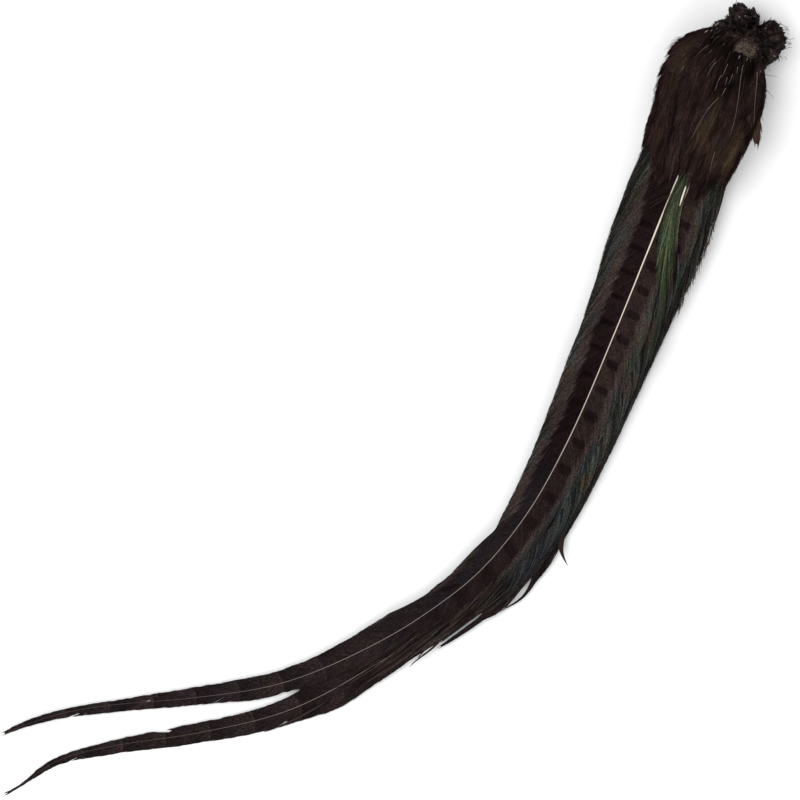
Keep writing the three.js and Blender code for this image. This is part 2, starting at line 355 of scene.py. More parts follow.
def blade_of(node, left=None, right=None):
    """Reads a feather's place off its node in the frame: the rings of points of a thin blade.

    The points of one ring have the same s. Its outermost give the widths and its middle one the shaft.
    left and right, lists of (s, width), stand in for the widths where an outline is known more closely.
    """
    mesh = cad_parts[node].data
    points = np.empty(len(mesh.vertices) * 3)
    mesh.vertices.foreach_get("co", points)
    points = np.unique(points.reshape(-1, 3).round(7), axis=0) / MM
    s, v = unplace(points)
    order = np.argsort(s)
    rings = np.split(order, np.flatnonzero(np.diff(s[order]) > 1.2) + 1)
    rows = []
    for ring in rings:
        across = np.sort(v[ring])
        middle = across[len(across) // 2 - 1 : len(across) // 2 + 1].mean()
        near = ring[np.argsort(np.abs(v[ring] - middle))[:2]]
        at = s[near].mean()
        height = points[near, 2].mean() + roof_drop(at, middle)
        rows.append((at, middle, middle - across[0], across[-1] - middle, height))
    at, shaft, to_left, to_right, height = np.array(rows).T
    outline = [
        through(known, 2.5) if known else curve(at, read)
        for known, read in ((left, to_left), (right, to_right))
    ]
    return Blade(at[0], at[-1], curve(at, shaft, 6), *outline, curve(at, height))


def moved(blade, line):
    """The blade with its shaft on another line of (s, v) and its outline where it was."""
    old, left, right, new = blade.shaft, blade.left, blade.right, through(line, 6)
    blade.shaft = new
    blade.left = lambda s: np.maximum(left(s) + new(s) - old(s), 0.2)
    blade.right = lambda s: np.maximum(right(s) + old(s) - new(s), 0.2)
    return blade


# The outline of the whole tail on the floor, as (s, v). Nothing but the free tips passes it.
OUTLINE = {
    -1: [
        (-6, -13.5), (-2.5, -17.2), (1, -22), (5, -25.8), (9, -28.6), (13, -29.3), (21, -29.4),
        (28, -28.8), (34, -26.8), (39, -24.7), (49, -23.7), (62, -22.2), (75, -20.8), (81, -20.4),
        (100, -19.8), (110, -19.1), (122.5, -17.5), (135, -16.8), (156, -16.4), (168, -15.6),
        (190, -14.4), (201, -14), (210, -12.3), (225, -11.5), (236.5, -10.4), (248, -9.1), (255, -7.3),
        (263, -8.7), (271, -9.2), (279, -8.8), (285, -7.8), (294, -8), (302, -6.8), (312, -7.8),
        (320, -8.5), (329, -8.3), (336.5, -7.5), (345, -6.8), (400, -5),
    ],
    1: [
        (-6, 17), (-1, 17), (2, 16.2), (5.5, 16.8), (9.5, 19.5), (13.5, 21.8), (19.5, 23.2), (28, 24.5),
        (38, 24), (55, 23), (63, 21.8), (75, 23.9), (79, 24.7), (93, 25.4), (105, 24.7), (118, 23.8),
        (135, 22.5), (147, 21.5), (190, 20), (225, 21), (238, 21), (250, 20.3), (262, 18.8), (274, 20.5),
        (281, 20.2), (285, 15.2), (290, 14.7), (299, 15), (308, 15.6), (314, 13.4), (323.5, 15),
        (333, 16.7), (345, 18.3), (400, 20.4),
    ],
}


EDGE_ROOM = 1.2  # how far inside the outline a feather's root has to be


def within(blade):
    """The blade with its widths kept inside the tail's OUTLINE, and its root too."""
    left, right = blade.left, blade.right
    near, far = (through(OUTLINE[way], 2) for way in (-1, 1))
    stations = np.arange(blade.start, blade.length, 0.5)
    line = blade.shaft(stations)
    inside = (line - near(stations) > EDGE_ROOM) & (far(stations) - line > EDGE_ROOM)
    blade.start = stations[inside.argmax()]
    blade.left = lambda s: np.clip(blade.shaft(s) - near(s), 0.25, left(s))
    blade.right = lambda s: np.clip(far(s) - blade.shaft(s), 0.25, right(s))
    return blade


def spread(value, s, v):
    """A number, or a function of s and v, as an array of their shape."""
    return (value(s, v) if callable(value) else value) * np.ones_like(v)


def locks(roots, sizes, pull, rng):
    """Parts the barbs into locks: how far each one's end is drawn to its lock, and the lock's number."""
    edges = np.cumsum(rng.uniform(*sizes, size=int(np.ptp(roots) / sizes[0]) + 4)) + roots[0] - sizes[1]
    number = np.searchsorted(edges, roots)
    middle = (edges[number] + edges[np.maximum(number - 1, 0)]) / 2
    pulls = pull * rng.uniform(0.3, 1.4, len(edges) + 1)[number]
    return (middle - roots) * pulls, number


def firmness(look, s):
    """How closed a vane is at s: a smooth step from 0 to 1 between the two places of firm."""
    return smooth((s - look["firm"][0]) / (look["firm"][1] - look["firm"][0]))


def lay_vane(skin, blade, way, look, rng, seed, thickness, splits=(), first=None, tint=(0.5, 0.5)):
    """Adds one vane of a feather as a ribbon for each barb.

    A barb leaves the shaft at its root, crosses the vane by its breadth times 1 - (1 - t)^bow, and runs
    along the shaft by its reach, a little slower at first. Both come from the feather's outline where the
    barb ends, so that the ends of the barbs draw it. A split (s, gap, t from, t to) parts the barbs there.
    """
    width_at = blade.side(way)
    begin = blade.start + 4 if first is None else first
    roots = np.arange(begin, blade.length - look["tip_gap"], look["spacing"])
    roots = roots + rng.uniform(-0.3, 0.3, len(roots)) * look["spacing"]
    count, rows, columns = len(roots), look["rows"], look["columns"]
    firm = firmness(look, roots)
    room = blade.length - roots
    guess = look["slant"] * width_at(roots)
    reach = np.maximum(look["slant"] * width_at(roots + np.minimum(guess, room)), look["least"])
    reach = np.minimum(reach * (1 + look["uneven"] * rng.normal(0, 1, count) * (1 - 0.9 * firm)), room)
    ragged = 1 + look["ragged"] * (0.7 * ripple(roots, 9, seed) + rng.normal(0, 0.5, count) * (1 - firm))
    jags = look["jag"] * firm * (ripple(roots, 3, seed) + ripple(roots, 1.2, seed + 3))
    breadth = width_at(roots + reach) * ragged + jags
    lock_pull, lock = locks(roots, look["locks"], look["pull"], rng)
    wisp_pull, wisp = locks(roots, look["wisps"], look["wisp_pull"], rng)

    t = np.linspace(0, 1, rows)[None, :]
    loose = (look["loose"] + (CLOSED - look["loose"]) * firm)[:, None]
    free = np.clip((t - loose) / (1 - loose), 0, 1)
    slack = 1 - 0.85 * firm[:, None]
    s = roots[:, None] + reach[:, None] * ((1 - SLOW_START) * t + SLOW_START * t * t)
    s = s + slack * (lock_pull[:, None] * t**2 + wisp_pull[:, None] * free**1.3)
    for at, gap, start, stop in splits:
        aside = roots[:, None] - at
        opened = smooth((t - start) / 0.25) * (1 - smooth((t - stop) / 0.25))
        s = s + np.sign(aside) * gap * np.exp(-np.abs(aside) / (3 * gap)) * opened
    across = breadth[:, None] * (1 - (1 - t) ** (look["bow"] - 0.4 * firm[:, None]))
    stray = rng.normal(0, 1, (count, 1)) * free**2 * slack
    across = across * (1 + look["ragged"] * stray)
    v = blade.shaft(s) + way * (thickness(roots)[:, None] * 0.35 + across)
    share = across / np.maximum(width_at(s), 0.5)
    lift = look["wave"] * (ripple(roots, 14, seed + 1) + 0.6 * ripple(roots, 4.5, seed + 2))[:, None]
    z = blade.surface(s, v) + lift * t**2 + rng.normal(0, 0.04, (count, 1)) * (0.4 + t)
    z = np.maximum(z + 0.1 * stray, 0.08)

    middle = place(s, v, z)
    along = np.gradient(middle, axis=1)
    along /= np.linalg.norm(along, axis=-1, keepdims=True)
    left = np.cross((0.0, 0.0, 1.0), along)
    left /= np.linalg.norm(left, axis=-1, keepdims=True)
    slope = np.hypot(np.gradient(s, axis=1), np.gradient(v, axis=1))
    room_between = look["spacing"] * np.abs(np.gradient(v, axis=1)) / np.maximum(slope, 1e-6)
    wide = np.maximum(room_between * LAP, look["hair"] * 1.6)
    wide = wide * (1 - free) + look["hair"] * free
    wide[:, -1] = TIP_HAIR
    edge = np.linspace(-0.5, 0.5, columns)[None, None, :]
    offset = left[:, :, None] * (edge * wide[:, :, None])[..., None]
    points = middle[:, :, None] + offset
    ridge = (0.25 - edge**2) * wide[:, :, None] * 0.5
    points[..., 2] += TILT * way * edge * wide[:, :, None] + ridge
    points[..., 2] = np.maximum(points[..., 2], 0.03)

    whole = np.ones((count, rows, columns))
    spots = np.stack([(roots + 1000.0 * seed)[:, None, None] * whole, s[..., None] * whole,
                      (way * across)[..., None] * whole], -1)
    random = 0.5 * rng.random(count) + 0.5 * (ripple(wisp * 7.3, 1, seed + 5) * 0.5 + 0.5)
    lock_tone = ripple(lock * 3.7, 1, seed + 6) * 0.5 + 0.5
    tones = np.stack([random[:, None, None] * whole, lock_tone[:, None, None] * whole,
                      share[..., None] * whole], -1)
    tints = np.stack([spread(tint[0], s, v)[..., None] * whole, spread(tint[1], s, v)[..., None] * whole,
                      t[..., None] * whole], -1)
    # The map gives each barb a strip of its own, the left vane's in the lower half.
    strip = (np.arange(count)[:, None, None] + 0.08 + 0.84 * (edge + 0.5)) / count * np.ones((1, rows, 1))
    up = VANE_MAP[way] + VANE_MAP_HEIGHT * t[..., None] * np.ones((count, 1, columns))
    skin.add(points, np.stack([strip, up], -1), {"spot": spots, "tone": tones, "tint": tints})
    lay_web(skin, blade, way, look, seed, begin, splits, tint)


def lay_web(skin, blade, way, look, seed, begin, splits, tint):
    """Adds the thin sheet just under a vane's barbs that stands for the hooked barbules between them.

    It spans the rows s and, across them, the shares of the width that the barbules close, less where the
    vane is split.
    """
    s = np.arange(begin + 3, blade.length - 1, WEB_STEP)[:, None]
    share = np.linspace(0, 1, WEB_COLUMNS)[None, :]
    width = blade.side(way)(s)
    cover = look["web"] + (CLOSED - look["web"]) * firmness(look, s)
    for at, gap, start, stop in splits:
        middle = at + look["slant"] * blade.side(way)(at) * (0.8 if start > 0 else 0.3)
        cover = cover * (1 - (0.7 if start > 0 else 0.97) * np.exp(-(((s - middle) / 5) ** 2)))
    across = width * cover * share
    s = s * np.ones_like(across)
    v = blade.shaft(s) + way * across
    points = place(s, v, np.maximum(blade.surface(s, v) - WEB_BELOW, 0.03))
    roots = s - look["slant"] * across * 0.8
    whole = np.ones_like(across)
    spots = np.stack([roots + 1000.0 * seed, s, way * across], -1)
    tones = np.stack([0.35 * whole, 0.5 * whole, across / np.maximum(width, 0.5)], -1)
    tints = np.stack([spread(tint[0], s, v), spread(tint[1], s, v), share * whole], -1)
    near, far = WEB_MAP[way]
    along = np.linspace(0.002, 0.998, len(s))[:, None] * whole
    uv = np.stack([along, near + (far - near) * share * whole], -1)
    turn = slice(None, None, way)
    values = {"spot": spots, "tone": tones, "tint": tints}
    skin.add(points[None, :, turn], uv[None, :, turn], {k: a[None, :, turn] for k, a in values.items()})


def lay_tube(skin, middle, width, band, slot=0, sides=6, high=(0.5, 0.5), along_at=None, tint=(0, 0)):
    """Adds a tube on a line of points, with an elliptical section and closed ends.

    high is how far it goes up and down as shares of its width. It fills the band (from, to) of the map.
    """
    steps = len(middle)
    along = np.gradient(middle, axis=0)
    along /= np.linalg.norm(along, axis=1)[:, None]
    left = np.cross((0.0, 0.0, 1.0), along)
    left /= np.linalg.norm(left, axis=1)[:, None]
    up = np.cross(along, left)
    angle = np.arange(sides) / sides * 2 * np.pi
    rise = np.where(np.sin(angle) > 0, high[1], high[0])[None, :, None] * np.sin(angle)[:, None]
    ring = left[:, None] * np.cos(angle)[:, None] * 0.5 - up[:, None] * rise
    points = middle[:, None] + width[:, None, None] * ring
    points[..., 2] = np.maximum(points[..., 2], 0.02)
    u = np.broadcast_to(np.linspace(0.002, 0.998, steps)[:, None], (steps, sides + 1))
    w = np.broadcast_to(np.linspace(*band, sides + 1), (steps, sides + 1))
    share = np.linspace(0, 1, steps)
    at = share if along_at is None else along_at
    whole = np.ones((steps, sides))
    spots = np.stack([tint[0] * whole, at[:, None] * whole, share[:, None] * whole], -1)
    tones = np.stack([np.abs(np.cos(angle)) * whole, tint[1] * whole, 0 * whole], -1)
    skin.add(points[None], np.stack([u, w], -1)[None], {"spot": spots[None], "tone": tones[None]},
             slot=slot, wrap=True)


def lay_shaft(skin, blade, thickness, slot, steps, end_gap, high=(0.3, 0.5), sides=8, seed=0):
    """Adds a feather's shaft: a tapering tube on the blade's middle line."""
    s = np.linspace(blade.start, blade.length - end_gap, steps)
    v = blade.shaft(s)
    lay_tube(skin, place(s, v, blade.surface(s, v)), thickness(s), SHAFT_MAP, slot, sides, high, s,
             (seed, blade.length))


def tapering(stations, widths):
    """A shaft's thickness over s."""
    return curve(stations, widths, 3)


# ---------------------------------------------------------------- materials


class Graph:
    """A node tree that is filled by short calls."""

    def __init__(self, tree):
        self.tree = tree
        tree.nodes.clear()

    def node(self, kind, values=None, **settings):
        """Adds a node. values sets or links its inputs, by name or number."""
        made = self.tree.nodes.new(kind)
        for key, value in settings.items():
            setattr(made, key, value)
        for key, value in (values or {}).items():
            if isinstance(value, bpy.types.NodeSocket):
                self.tree.links.new(value, made.inputs[key])
            else:
                made.inputs[key].default_value = value
        return made

    def maths(self, operation, *values):
        return self.node("ShaderNodeMath", dict(enumerate(values)), operation=operation).outputs[0]

    def step(self, value, low, high):
        """0 below low and 1 above high, smoothly."""
        ranged = self.node(
            "ShaderNodeMapRange",
            {"Value": value, "From Min": low, "From Max": high},
            interpolation_type="SMOOTHSTEP",
        )
        return ranged.outputs["Result"]

    def mix(self, share, a, b, blend="MIX"):
        mixed = self.node("ShaderNodeMix", {0: share, 6: a, 7: b}, data_type="RGBA", blend_type=blend)
        return mixed.outputs[2]

    def noise(self, vector, scale, detail=2.0, roughness=0.5):
        made = self.node("ShaderNodeTexNoise", {"Vector": vector, "Scale": scale, "Detail": detail,
                                                "Roughness": roughness})
        return made.outputs["Fac"]

    def split(self, vector):
        return self.node("ShaderNodeSeparateXYZ", {0: vector}).outputs

    def join(self, x, y, z):
        return self.node("ShaderNodeCombineXYZ", {0: x, 1: y, 2: z}).outputs[0]

    def attribute(self, name):
        return self.node("ShaderNodeAttribute", attribute_name=name).outputs["Vector"]


def new_group(name, inputs, outputs):
    """A shader node group with the given sockets, and the graph to fill it with."""
    tree = bpy.data.node_groups.new(name, "ShaderNodeTree")
    kinds = {"value": "NodeSocketFloat", "colour": "NodeSocketColor", "vector": "NodeSocketVector"}
    for label, kind, default in inputs:
        socket = tree.interface.new_socket(label, in_out="INPUT", socket_type=kinds[kind])
        socket.default_value = default
    for label, kind in outputs:
        tree.interface.new_socket(label, in_out="OUTPUT", socket_type=kinds[kind])
    graph = Graph(tree)
    return tree, graph, graph.node("NodeGroupInput").outputs


GREY = (0.2, 0.2, 0.2, 1)
FEATHER_GLOSS = 0.02  # the specular level of barbs, which are nearly matt
WINE, OLIVE, SLATE = (1.10, 0.94, 0.98, 1), (1.02, 1.05, 0.84, 1), (0.90, 0.99, 1.14, 1)


def barb_streaks():
    """The group that tells barbs apart: fine streaks, broader hanks and locks that run along them.

    Each is noise over the barb's root, which is the same all along the barb, and only slowly over how far
    across the vane it has come.
    """
    tree, g, given = new_group(
        "Barb streaks",
        [("Fineness", "value", 1.0)],
        [("Streak", "value"), ("Hank", "value"), ("Lock", "value"), ("Height", "value")],
    )
    root, along, lateral = g.split(g.attribute("spot"))
    barb, lock, _ = g.split(g.attribute("tone"))
    root = g.maths("MULTIPLY", root, given["Fineness"])
    slow = g.maths("MULTIPLY", g.maths("ABSOLUTE", lateral), 0.12)
    fine = g.noise(g.join(root, slow, 0.0), 1.3, 3.0, 0.6)
    hank = g.noise(g.join(root, slow, 7.0), 0.42, 3.0, 0.55)
    broad = g.noise(g.join(root, g.maths("MULTIPLY", along, 0.05), 3.0), 0.15, 2.0)
    streak = g.maths("ADD", g.maths("MULTIPLY", barb, 0.45), g.maths("MULTIPLY", fine, 0.55))
    out = {
        "Streak": g.step(streak, 0.25, 0.75),
        "Hank": g.step(hank, 0.36, 0.64),
        "Lock": g.maths("ADD", g.maths("MULTIPLY", lock, 0.4), g.maths("MULTIPLY", broad, 0.6)),
        "Height": g.noise(g.join(g.maths("MULTIPLY", root, 2.0), lateral, 1.0), 2.5, 2.0),
    }
    g.node("NodeGroupOutput", out)
    return tree


def surface_grain():
    """The group of what no barb carries alone: fine grain, and slow changes of hue.

    Both are noise over the object's own coordinates. The hue goes between wine, olive and slate.
    """
    tree, g, _ = new_group("Surface grain", [], [("Grain", "value"), ("Hue", "colour"), ("Slow", "value")])
    where = g.node("ShaderNodeTexCoord").outputs["Object"]
    grain = g.step(g.noise(where, 1500.0, 3.0, 0.7), 0.3, 0.7)
    olive = g.step(g.noise(where, 150.0, 3.0, 0.6), 0.42, 0.62)
    aside = g.node("ShaderNodeVectorMath", {0: where, 1: (0.7, 0.3, 0.1)}).outputs[0]
    slate = g.step(g.noise(aside, 110.0, 3.0, 0.6), 0.48, 0.66)
    hue = g.mix(slate, g.mix(olive, WINE, OLIVE), SLATE)
    g.node("NodeGroupOutput", {"Grain": grain, "Hue": hue, "Slow": g.noise(where, 60.0, 2.0)})
    return tree


# The bars, in millimetres: where the first one lies, how far the next, and how that grows along s.
BAR_START, BAR_STEP, BAR_GROWTH = 91.8, 11.8, 0.021
BAR_SPAN = {"left": (1.4, 8.4), "right": (1.4, 7.9)}  # from the shaft out
TIPWARD = (215, 330)  # where the bars widen and fade into the tip's segments
BARS_BEGIN, LEFT_BARS_END = (82, 88), (175, 215)
DIMMED = ((138, 172), (205, 245))  # where the left vane's inner zone darkens and lightens again
GREYER_FROM, RIGHT_DARKER_FROM = (195, 235), (180, 240)
SLATE_FROM, FRINGE_END = (222, 250), (275, 330)
TIP_FROM, SEGMENTS_SHOW = (275, 350), (345, 368)
SEGMENT = 20.6  # how far the tip's segments lie apart


def barred_vane():
    """The group that colours a barred vane across its width and along its length.

    From the shaft out it has a dark barred zone, a paler band and a glossy loose fringe. How far out the
    last two begin is in the piece's tint, in millimetres. The bars lie further apart towards the tip: their
    number is log(1 + growth (s - start) / step) / growth. The right vane's lie between the left one's.
    Towards the tip they give way to broad segments.
    """
    tree, g, given = new_group(
        "Barred vane",
        [
            ("Inner left", "colour", GREY), ("Inner right", "colour", GREY), ("Bar", "colour", GREY),
            ("Band", "colour", GREY), ("Fringe", "colour", GREY), ("Gloss", "colour", GREY),
            ("Tip", "colour", GREY), ("Slate", "colour", GREY),
            ("Segments from", "value", 401.0), ("Bar strength", "value", 1.0),
            ("Streak", "value", 0.5), ("Hank", "value", 0.5), ("Lock", "value", 0.5), ("Slow", "value", 0.5),
        ],
        [("Colour", "colour"), ("Depth", "value")],
    )
    _, along, lateral = g.split(g.attribute("spot"))
    band_at, fringe_at, _ = g.split(g.attribute("tint"))

    def times(a, b):
        return g.maths("MULTIPLY", a, b)

    def plus(a, b):
        return g.maths("ADD", a, b)

    def less(a, b):
        return g.maths("SUBTRACT", a, b)

    out = g.maths("ABSOLUTE", lateral)
    right = g.maths("GREATER_THAN", lateral, 0.0)
    tipward = g.step(along, *TIPWARD)
    tones = less(given["Streak"], 0.5)

    dim = times(less(1.0, right), times(g.step(along, *DIMMED[0]), less(1.0, g.step(along, *DIMMED[1]))))
    lean = times(out, times(right, 0.1))
    inside = plus(times(less(less(along, lean), BAR_START), BAR_GROWTH / BAR_STEP), 1.0)
    number = g.maths("DIVIDE", g.maths("LOGARITHM", g.maths("MAXIMUM", inside, 0.01), math.e), BAR_GROWTH)
    offset = times(right, less(0.42, times(g.step(along, 105.0, 215.0), 0.2)))
    to_bar = g.maths("PINGPONG", plus(less(number, offset), times(tones, 0.03)), 0.5)
    near, far = (plus(a, times(right, b - a)) for a, b in zip(BAR_SPAN["left"], BAR_SPAN["right"]))
    middle, half = times(plus(near, far), 0.5), times(less(far, near), 0.5)
    off = g.maths("DIVIDE", less(out, middle), plus(half, times(tipward, 9.0)))
    swollen = plus(to_bar, times(g.maths("POWER", g.maths("ABSOLUTE", off), 8.0), 0.09))
    swollen = plus(swollen, times(less(given["Slow"], 0.5), 0.12))
    wide = plus(plus(0.05, times(right, 0.045)), times(tipward, 0.08))
    bar = less(1.0, g.step(swollen, wide, plus(wide, plus(0.12, times(tipward, 0.06)))))
    left_end = times(less(1.0, right), g.step(along, *LEFT_BARS_END))
    start = times(g.step(along, *BARS_BEGIN), less(1.0, left_end))
    start = plus(times(start, less(1.0, right)), times(right, g.step(along, 70.0, 80.0)))
    fade = less(less(1.0, times(right, 0.2)), times(g.step(along, 185.0, 275.0), 0.25))
    bar = times(times(bar, start), times(given["Bar strength"], fade))

    strands = less(given["Hank"], 0.5)
    edge = plus(out, plus(times(tones, 0.8), plus(times(less(given["Lock"], 0.5), 2.0), times(strands, 1.4))))
    in_band = g.step(edge, less(band_at, 0.7), plus(band_at, 1.1))
    in_fringe = g.step(edge, less(fringe_at, 0.8), plus(fringe_at, 1.6))
    root_side = less(1.0, g.step(along, *FRINGE_END))
    right_inner = g.mix(times(g.step(along, *RIGHT_DARKER_FROM), 0.9), given["Inner right"],
                        g.mix(0.4, given["Inner left"], given["Tip"]))
    left_inner = g.mix(times(dim, 0.5), given["Inner left"], given["Bar"])
    left_inner = g.mix(times(g.step(along, *GREYER_FROM), 0.35), left_inner, given["Slate"])
    inner = g.mix(right, left_inner, right_inner)
    inner = g.mix(times(bar, 0.9), inner, given["Bar"])
    banded = g.mix(times(in_band, less(1.0, times(tipward, 0.5))), inner, given["Band"])
    fringe = g.mix(g.step(given["Slow"], 0.42, 0.58), given["Fringe"], given["Gloss"])
    fringe = g.mix(times(g.step(along, *SLATE_FROM), 0.9), fringe, given["Slate"])
    fringed = g.mix(times(in_fringe, root_side), banded, fringe)

    leaning = less(less(along, times(out, 0.25)), given["Segments from"])
    phase = g.maths("FRACT", g.maths("DIVIDE", leaning, SEGMENT))
    segment = less(1.2, times(g.step(phase, 0.1, 0.95), 0.5))
    lit = times(less(1.0, g.step(phase, 0.02, 0.09)), 0.38)
    segment = plus(1.0, times(less(plus(segment, lit), 1.0), g.step(along, *SEGMENTS_SHOW)))
    tip = g.mix(1.0, given["Tip"], g.join(segment, segment, segment), "MULTIPLY")
    depth = plus(0.13, times(times(in_fringe, root_side), 0.69))
    g.node("NodeGroupOutput", {"Colour": g.mix(g.step(along, *TIP_FROM), fringed, tip), "Depth": depth})
    return tree


def group_of(name, maker):
    """The node group of that name, which is made the first time."""
    return bpy.data.node_groups.get(name) or maker()


def blank_material(name):
    """A material with an empty graph, a Principled shader and its output."""
    material = bpy.data.materials.new(name)
    material.use_nodes = True
    graph = Graph(material.node_tree)
    shader = graph.node("ShaderNodeBsdfPrincipled")
    graph.node("ShaderNodeOutputMaterial", {"Surface": shader.outputs[0]})
    return material, graph, shader


def wire(graph, shader, **values):
    """Sets or links the shader's inputs. Underscores stand for the spaces in their names."""
    for key, value in values.items():
        socket = shader.inputs[key.replace("_", " ")]
        if isinstance(value, bpy.types.NodeSocket):
            graph.tree.links.new(value, socket)
        else:
            socket.default_value = value


def shaded(graph, colour, tone, depth):
    """The colour darkened and lightened by a tone of 0 to 1, by up to depth either way."""
    change = graph.maths("MULTIPLY", graph.maths("SUBTRACT", tone, 0.5), graph.maths("MULTIPLY", depth, 2.0))
    gain = graph.maths("ADD", change, 1.0)
    return graph.mix(1.0, colour, graph.join(gain, gain, gain), "MULTIPLY")


def placed(graph, name, maker, **values):
    """A group placed in a material, with its inputs' values. It returns the group's outputs."""
    return graph.node("ShaderNodeGroup", values, node_tree=group_of(name, maker)).outputs


def grained(graph, colour, depth, hue=1.0):
    """The colour with the surface's hue and grain over it."""
    grain = placed(graph, "Surface grain", surface_grain)
    return shaded(graph, graph.mix(hue, colour, grain["Hue"], "MULTIPLY"), grain["Grain"], depth)


def finish_barbs(graph, shader, colour, height, roughness):
    """Wires a vane's shader: its colour, its roughness and the bump of its barbs."""
    bump = graph.node("ShaderNodeBump", {"Strength": 0.25, "Distance": 0.0002, "Height": height})
    wire(graph, shader, Base_Color=colour, Roughness=roughness, Specular_IOR_Level=FEATHER_GLOSS,
         Normal=bump.outputs[0])


def vane_material(name, colours, segments_from=401.0, bars=1.0, fringe=None):
    """A barred vane: dark and matt, with fine streaks along its barbs."""
    material, g, shader = blank_material(name)
    streaks = placed(g, "Barb streaks", barb_streaks)
    slow = placed(g, "Surface grain", surface_grain)["Slow"]
    values = {
        "Inner left": colours.inner_left, "Inner right": colours.inner_right, "Bar": colours.bar,
        "Band": colours.band, "Fringe": fringe or colours.fringe, "Gloss": colours.gloss,
        "Tip": colours.tip, "Slate": colours.slate, "Segments from": segments_from, "Bar strength": bars,
        "Streak": streaks["Streak"], "Hank": streaks["Hank"], "Lock": streaks["Lock"], "Slow": slow,
    }
    pattern = placed(g, "Barred vane", barred_vane, **values)
    colour = shaded(g, pattern["Colour"], streaks["Streak"], 0.34)
    colour = shaded(g, colour, g.step(slow, 0.3, 0.7), 0.16)
    colour = shaded(g, colour, streaks["Hank"], pattern["Depth"])
    along = g.split(g.attribute("spot"))[1]
    depth = g.maths("ADD", 0.68, g.maths("MULTIPLY", g.step(along, 300.0, 400.0), 0.2))
    finish_barbs(g, shader, grained(g, colour, depth, 0.65), streaks["Height"], 0.6)
    return material


def plain_vane_material(name, dark, light, gloss, fineness=1.0, depth=0.3):
    """An unbarred vane: brown-black with lighter barbs. A feather's own tint makes it olive or paler, and on
    the coverts it also carries painted shadow and a painted highlight.
    """
    material, g, shader = blank_material(name)
    streaks = placed(g, "Barb streaks", barb_streaks, Fineness=fineness)
    olive, pale, _ = g.split(g.attribute("tint"))
    broad = g.noise(g.node("ShaderNodeTexCoord").outputs["Object"], 85.0, 2.0)
    share = g.maths("ADD", g.maths("MULTIPLY", streaks["Hank"], 0.5), g.maths("MULTIPLY", broad, 0.5))
    colour = g.mix(share, dark, g.mix(olive, light, gloss))
    # Painted light and shade: the pale share of the tint carries the coverts' zones, among them a painted
    # crease shadow and a painted highlight.
    colour = shaded(g, colour, pale, 0.9)
    colour = shaded(g, colour, streaks["Hank"], depth)
    colour = shaded(g, colour, streaks["Streak"], 0.2)
    finish_barbs(g, shader, grained(g, colour, 0.4, 0.6), streaks["Height"], 0.65)
    return material


def shaft_material(name, root, tip, dull_from, dull_to, rim=None, end=None):
    """Horn: pale at its root and duller towards the tip, with darker flecks and a rim of another colour."""
    material, g, shader = blank_material(name)
    along = g.split(g.attribute("spot"))[2]
    side = g.split(g.attribute("tone"))[0]
    colour = g.mix(g.step(along, dull_from, dull_to), root, tip)
    if end:
        colour = g.mix(g.step(along, 0.66, 0.88), colour, end)
    if rim:
        colour = g.mix(g.step(side, 0.6, 1.0), colour, rim)
    flecks = g.noise(g.node("ShaderNodeTexCoord").outputs["Object"], 700.0, 3.0)
    colour = shaded(g, colour, flecks, 0.15)
    wire(g, shader, Base_Color=colour, Roughness=0.45, Specular_IOR_Level=0.2)
    return material


def quill_material(name, dark, pale, patch=5.0):
    """The shaft of a small feather: dark, with short stretches where the pale horn shows.

    The stretches are noise over the distance along the shaft, a few millimetres apart.
    """
    material, g, shader = blank_material(name)
    seed, along, share = g.split(g.attribute("spot"))
    patches = g.noise(g.join(g.maths("DIVIDE", along, patch), seed, 0.0), 1.0, 1.0)
    near_root = g.maths("SUBTRACT", 1.0, g.step(share, 0.3, 0.6))
    shown = g.maths("MULTIPLY", g.step(patches, 0.52, 0.62), near_root)
    wire(g, shader, Base_Color=g.mix(shown, dark, pale), Roughness=0.55, Specular_IOR_Level=0.1)
    return material


def hair_material(name, colours):
    """Hairs and bare quills: each is as pale as its own tint says."""
    material, g, shader = blank_material(name)
    pale = g.split(g.attribute("tone"))[1]
    wire(g, shader, Base_Color=grained(g, g.mix(pale, colours.covert_dark, colours.quill), 0.3, 0.8),
         Roughness=0.6, Specular_IOR_Level=FEATHER_GLOSS)
    return material


TAN_PATCH = (-0.6, 3.9, 22.0)  # the middle of the tan patch on the skin, as s, v and z


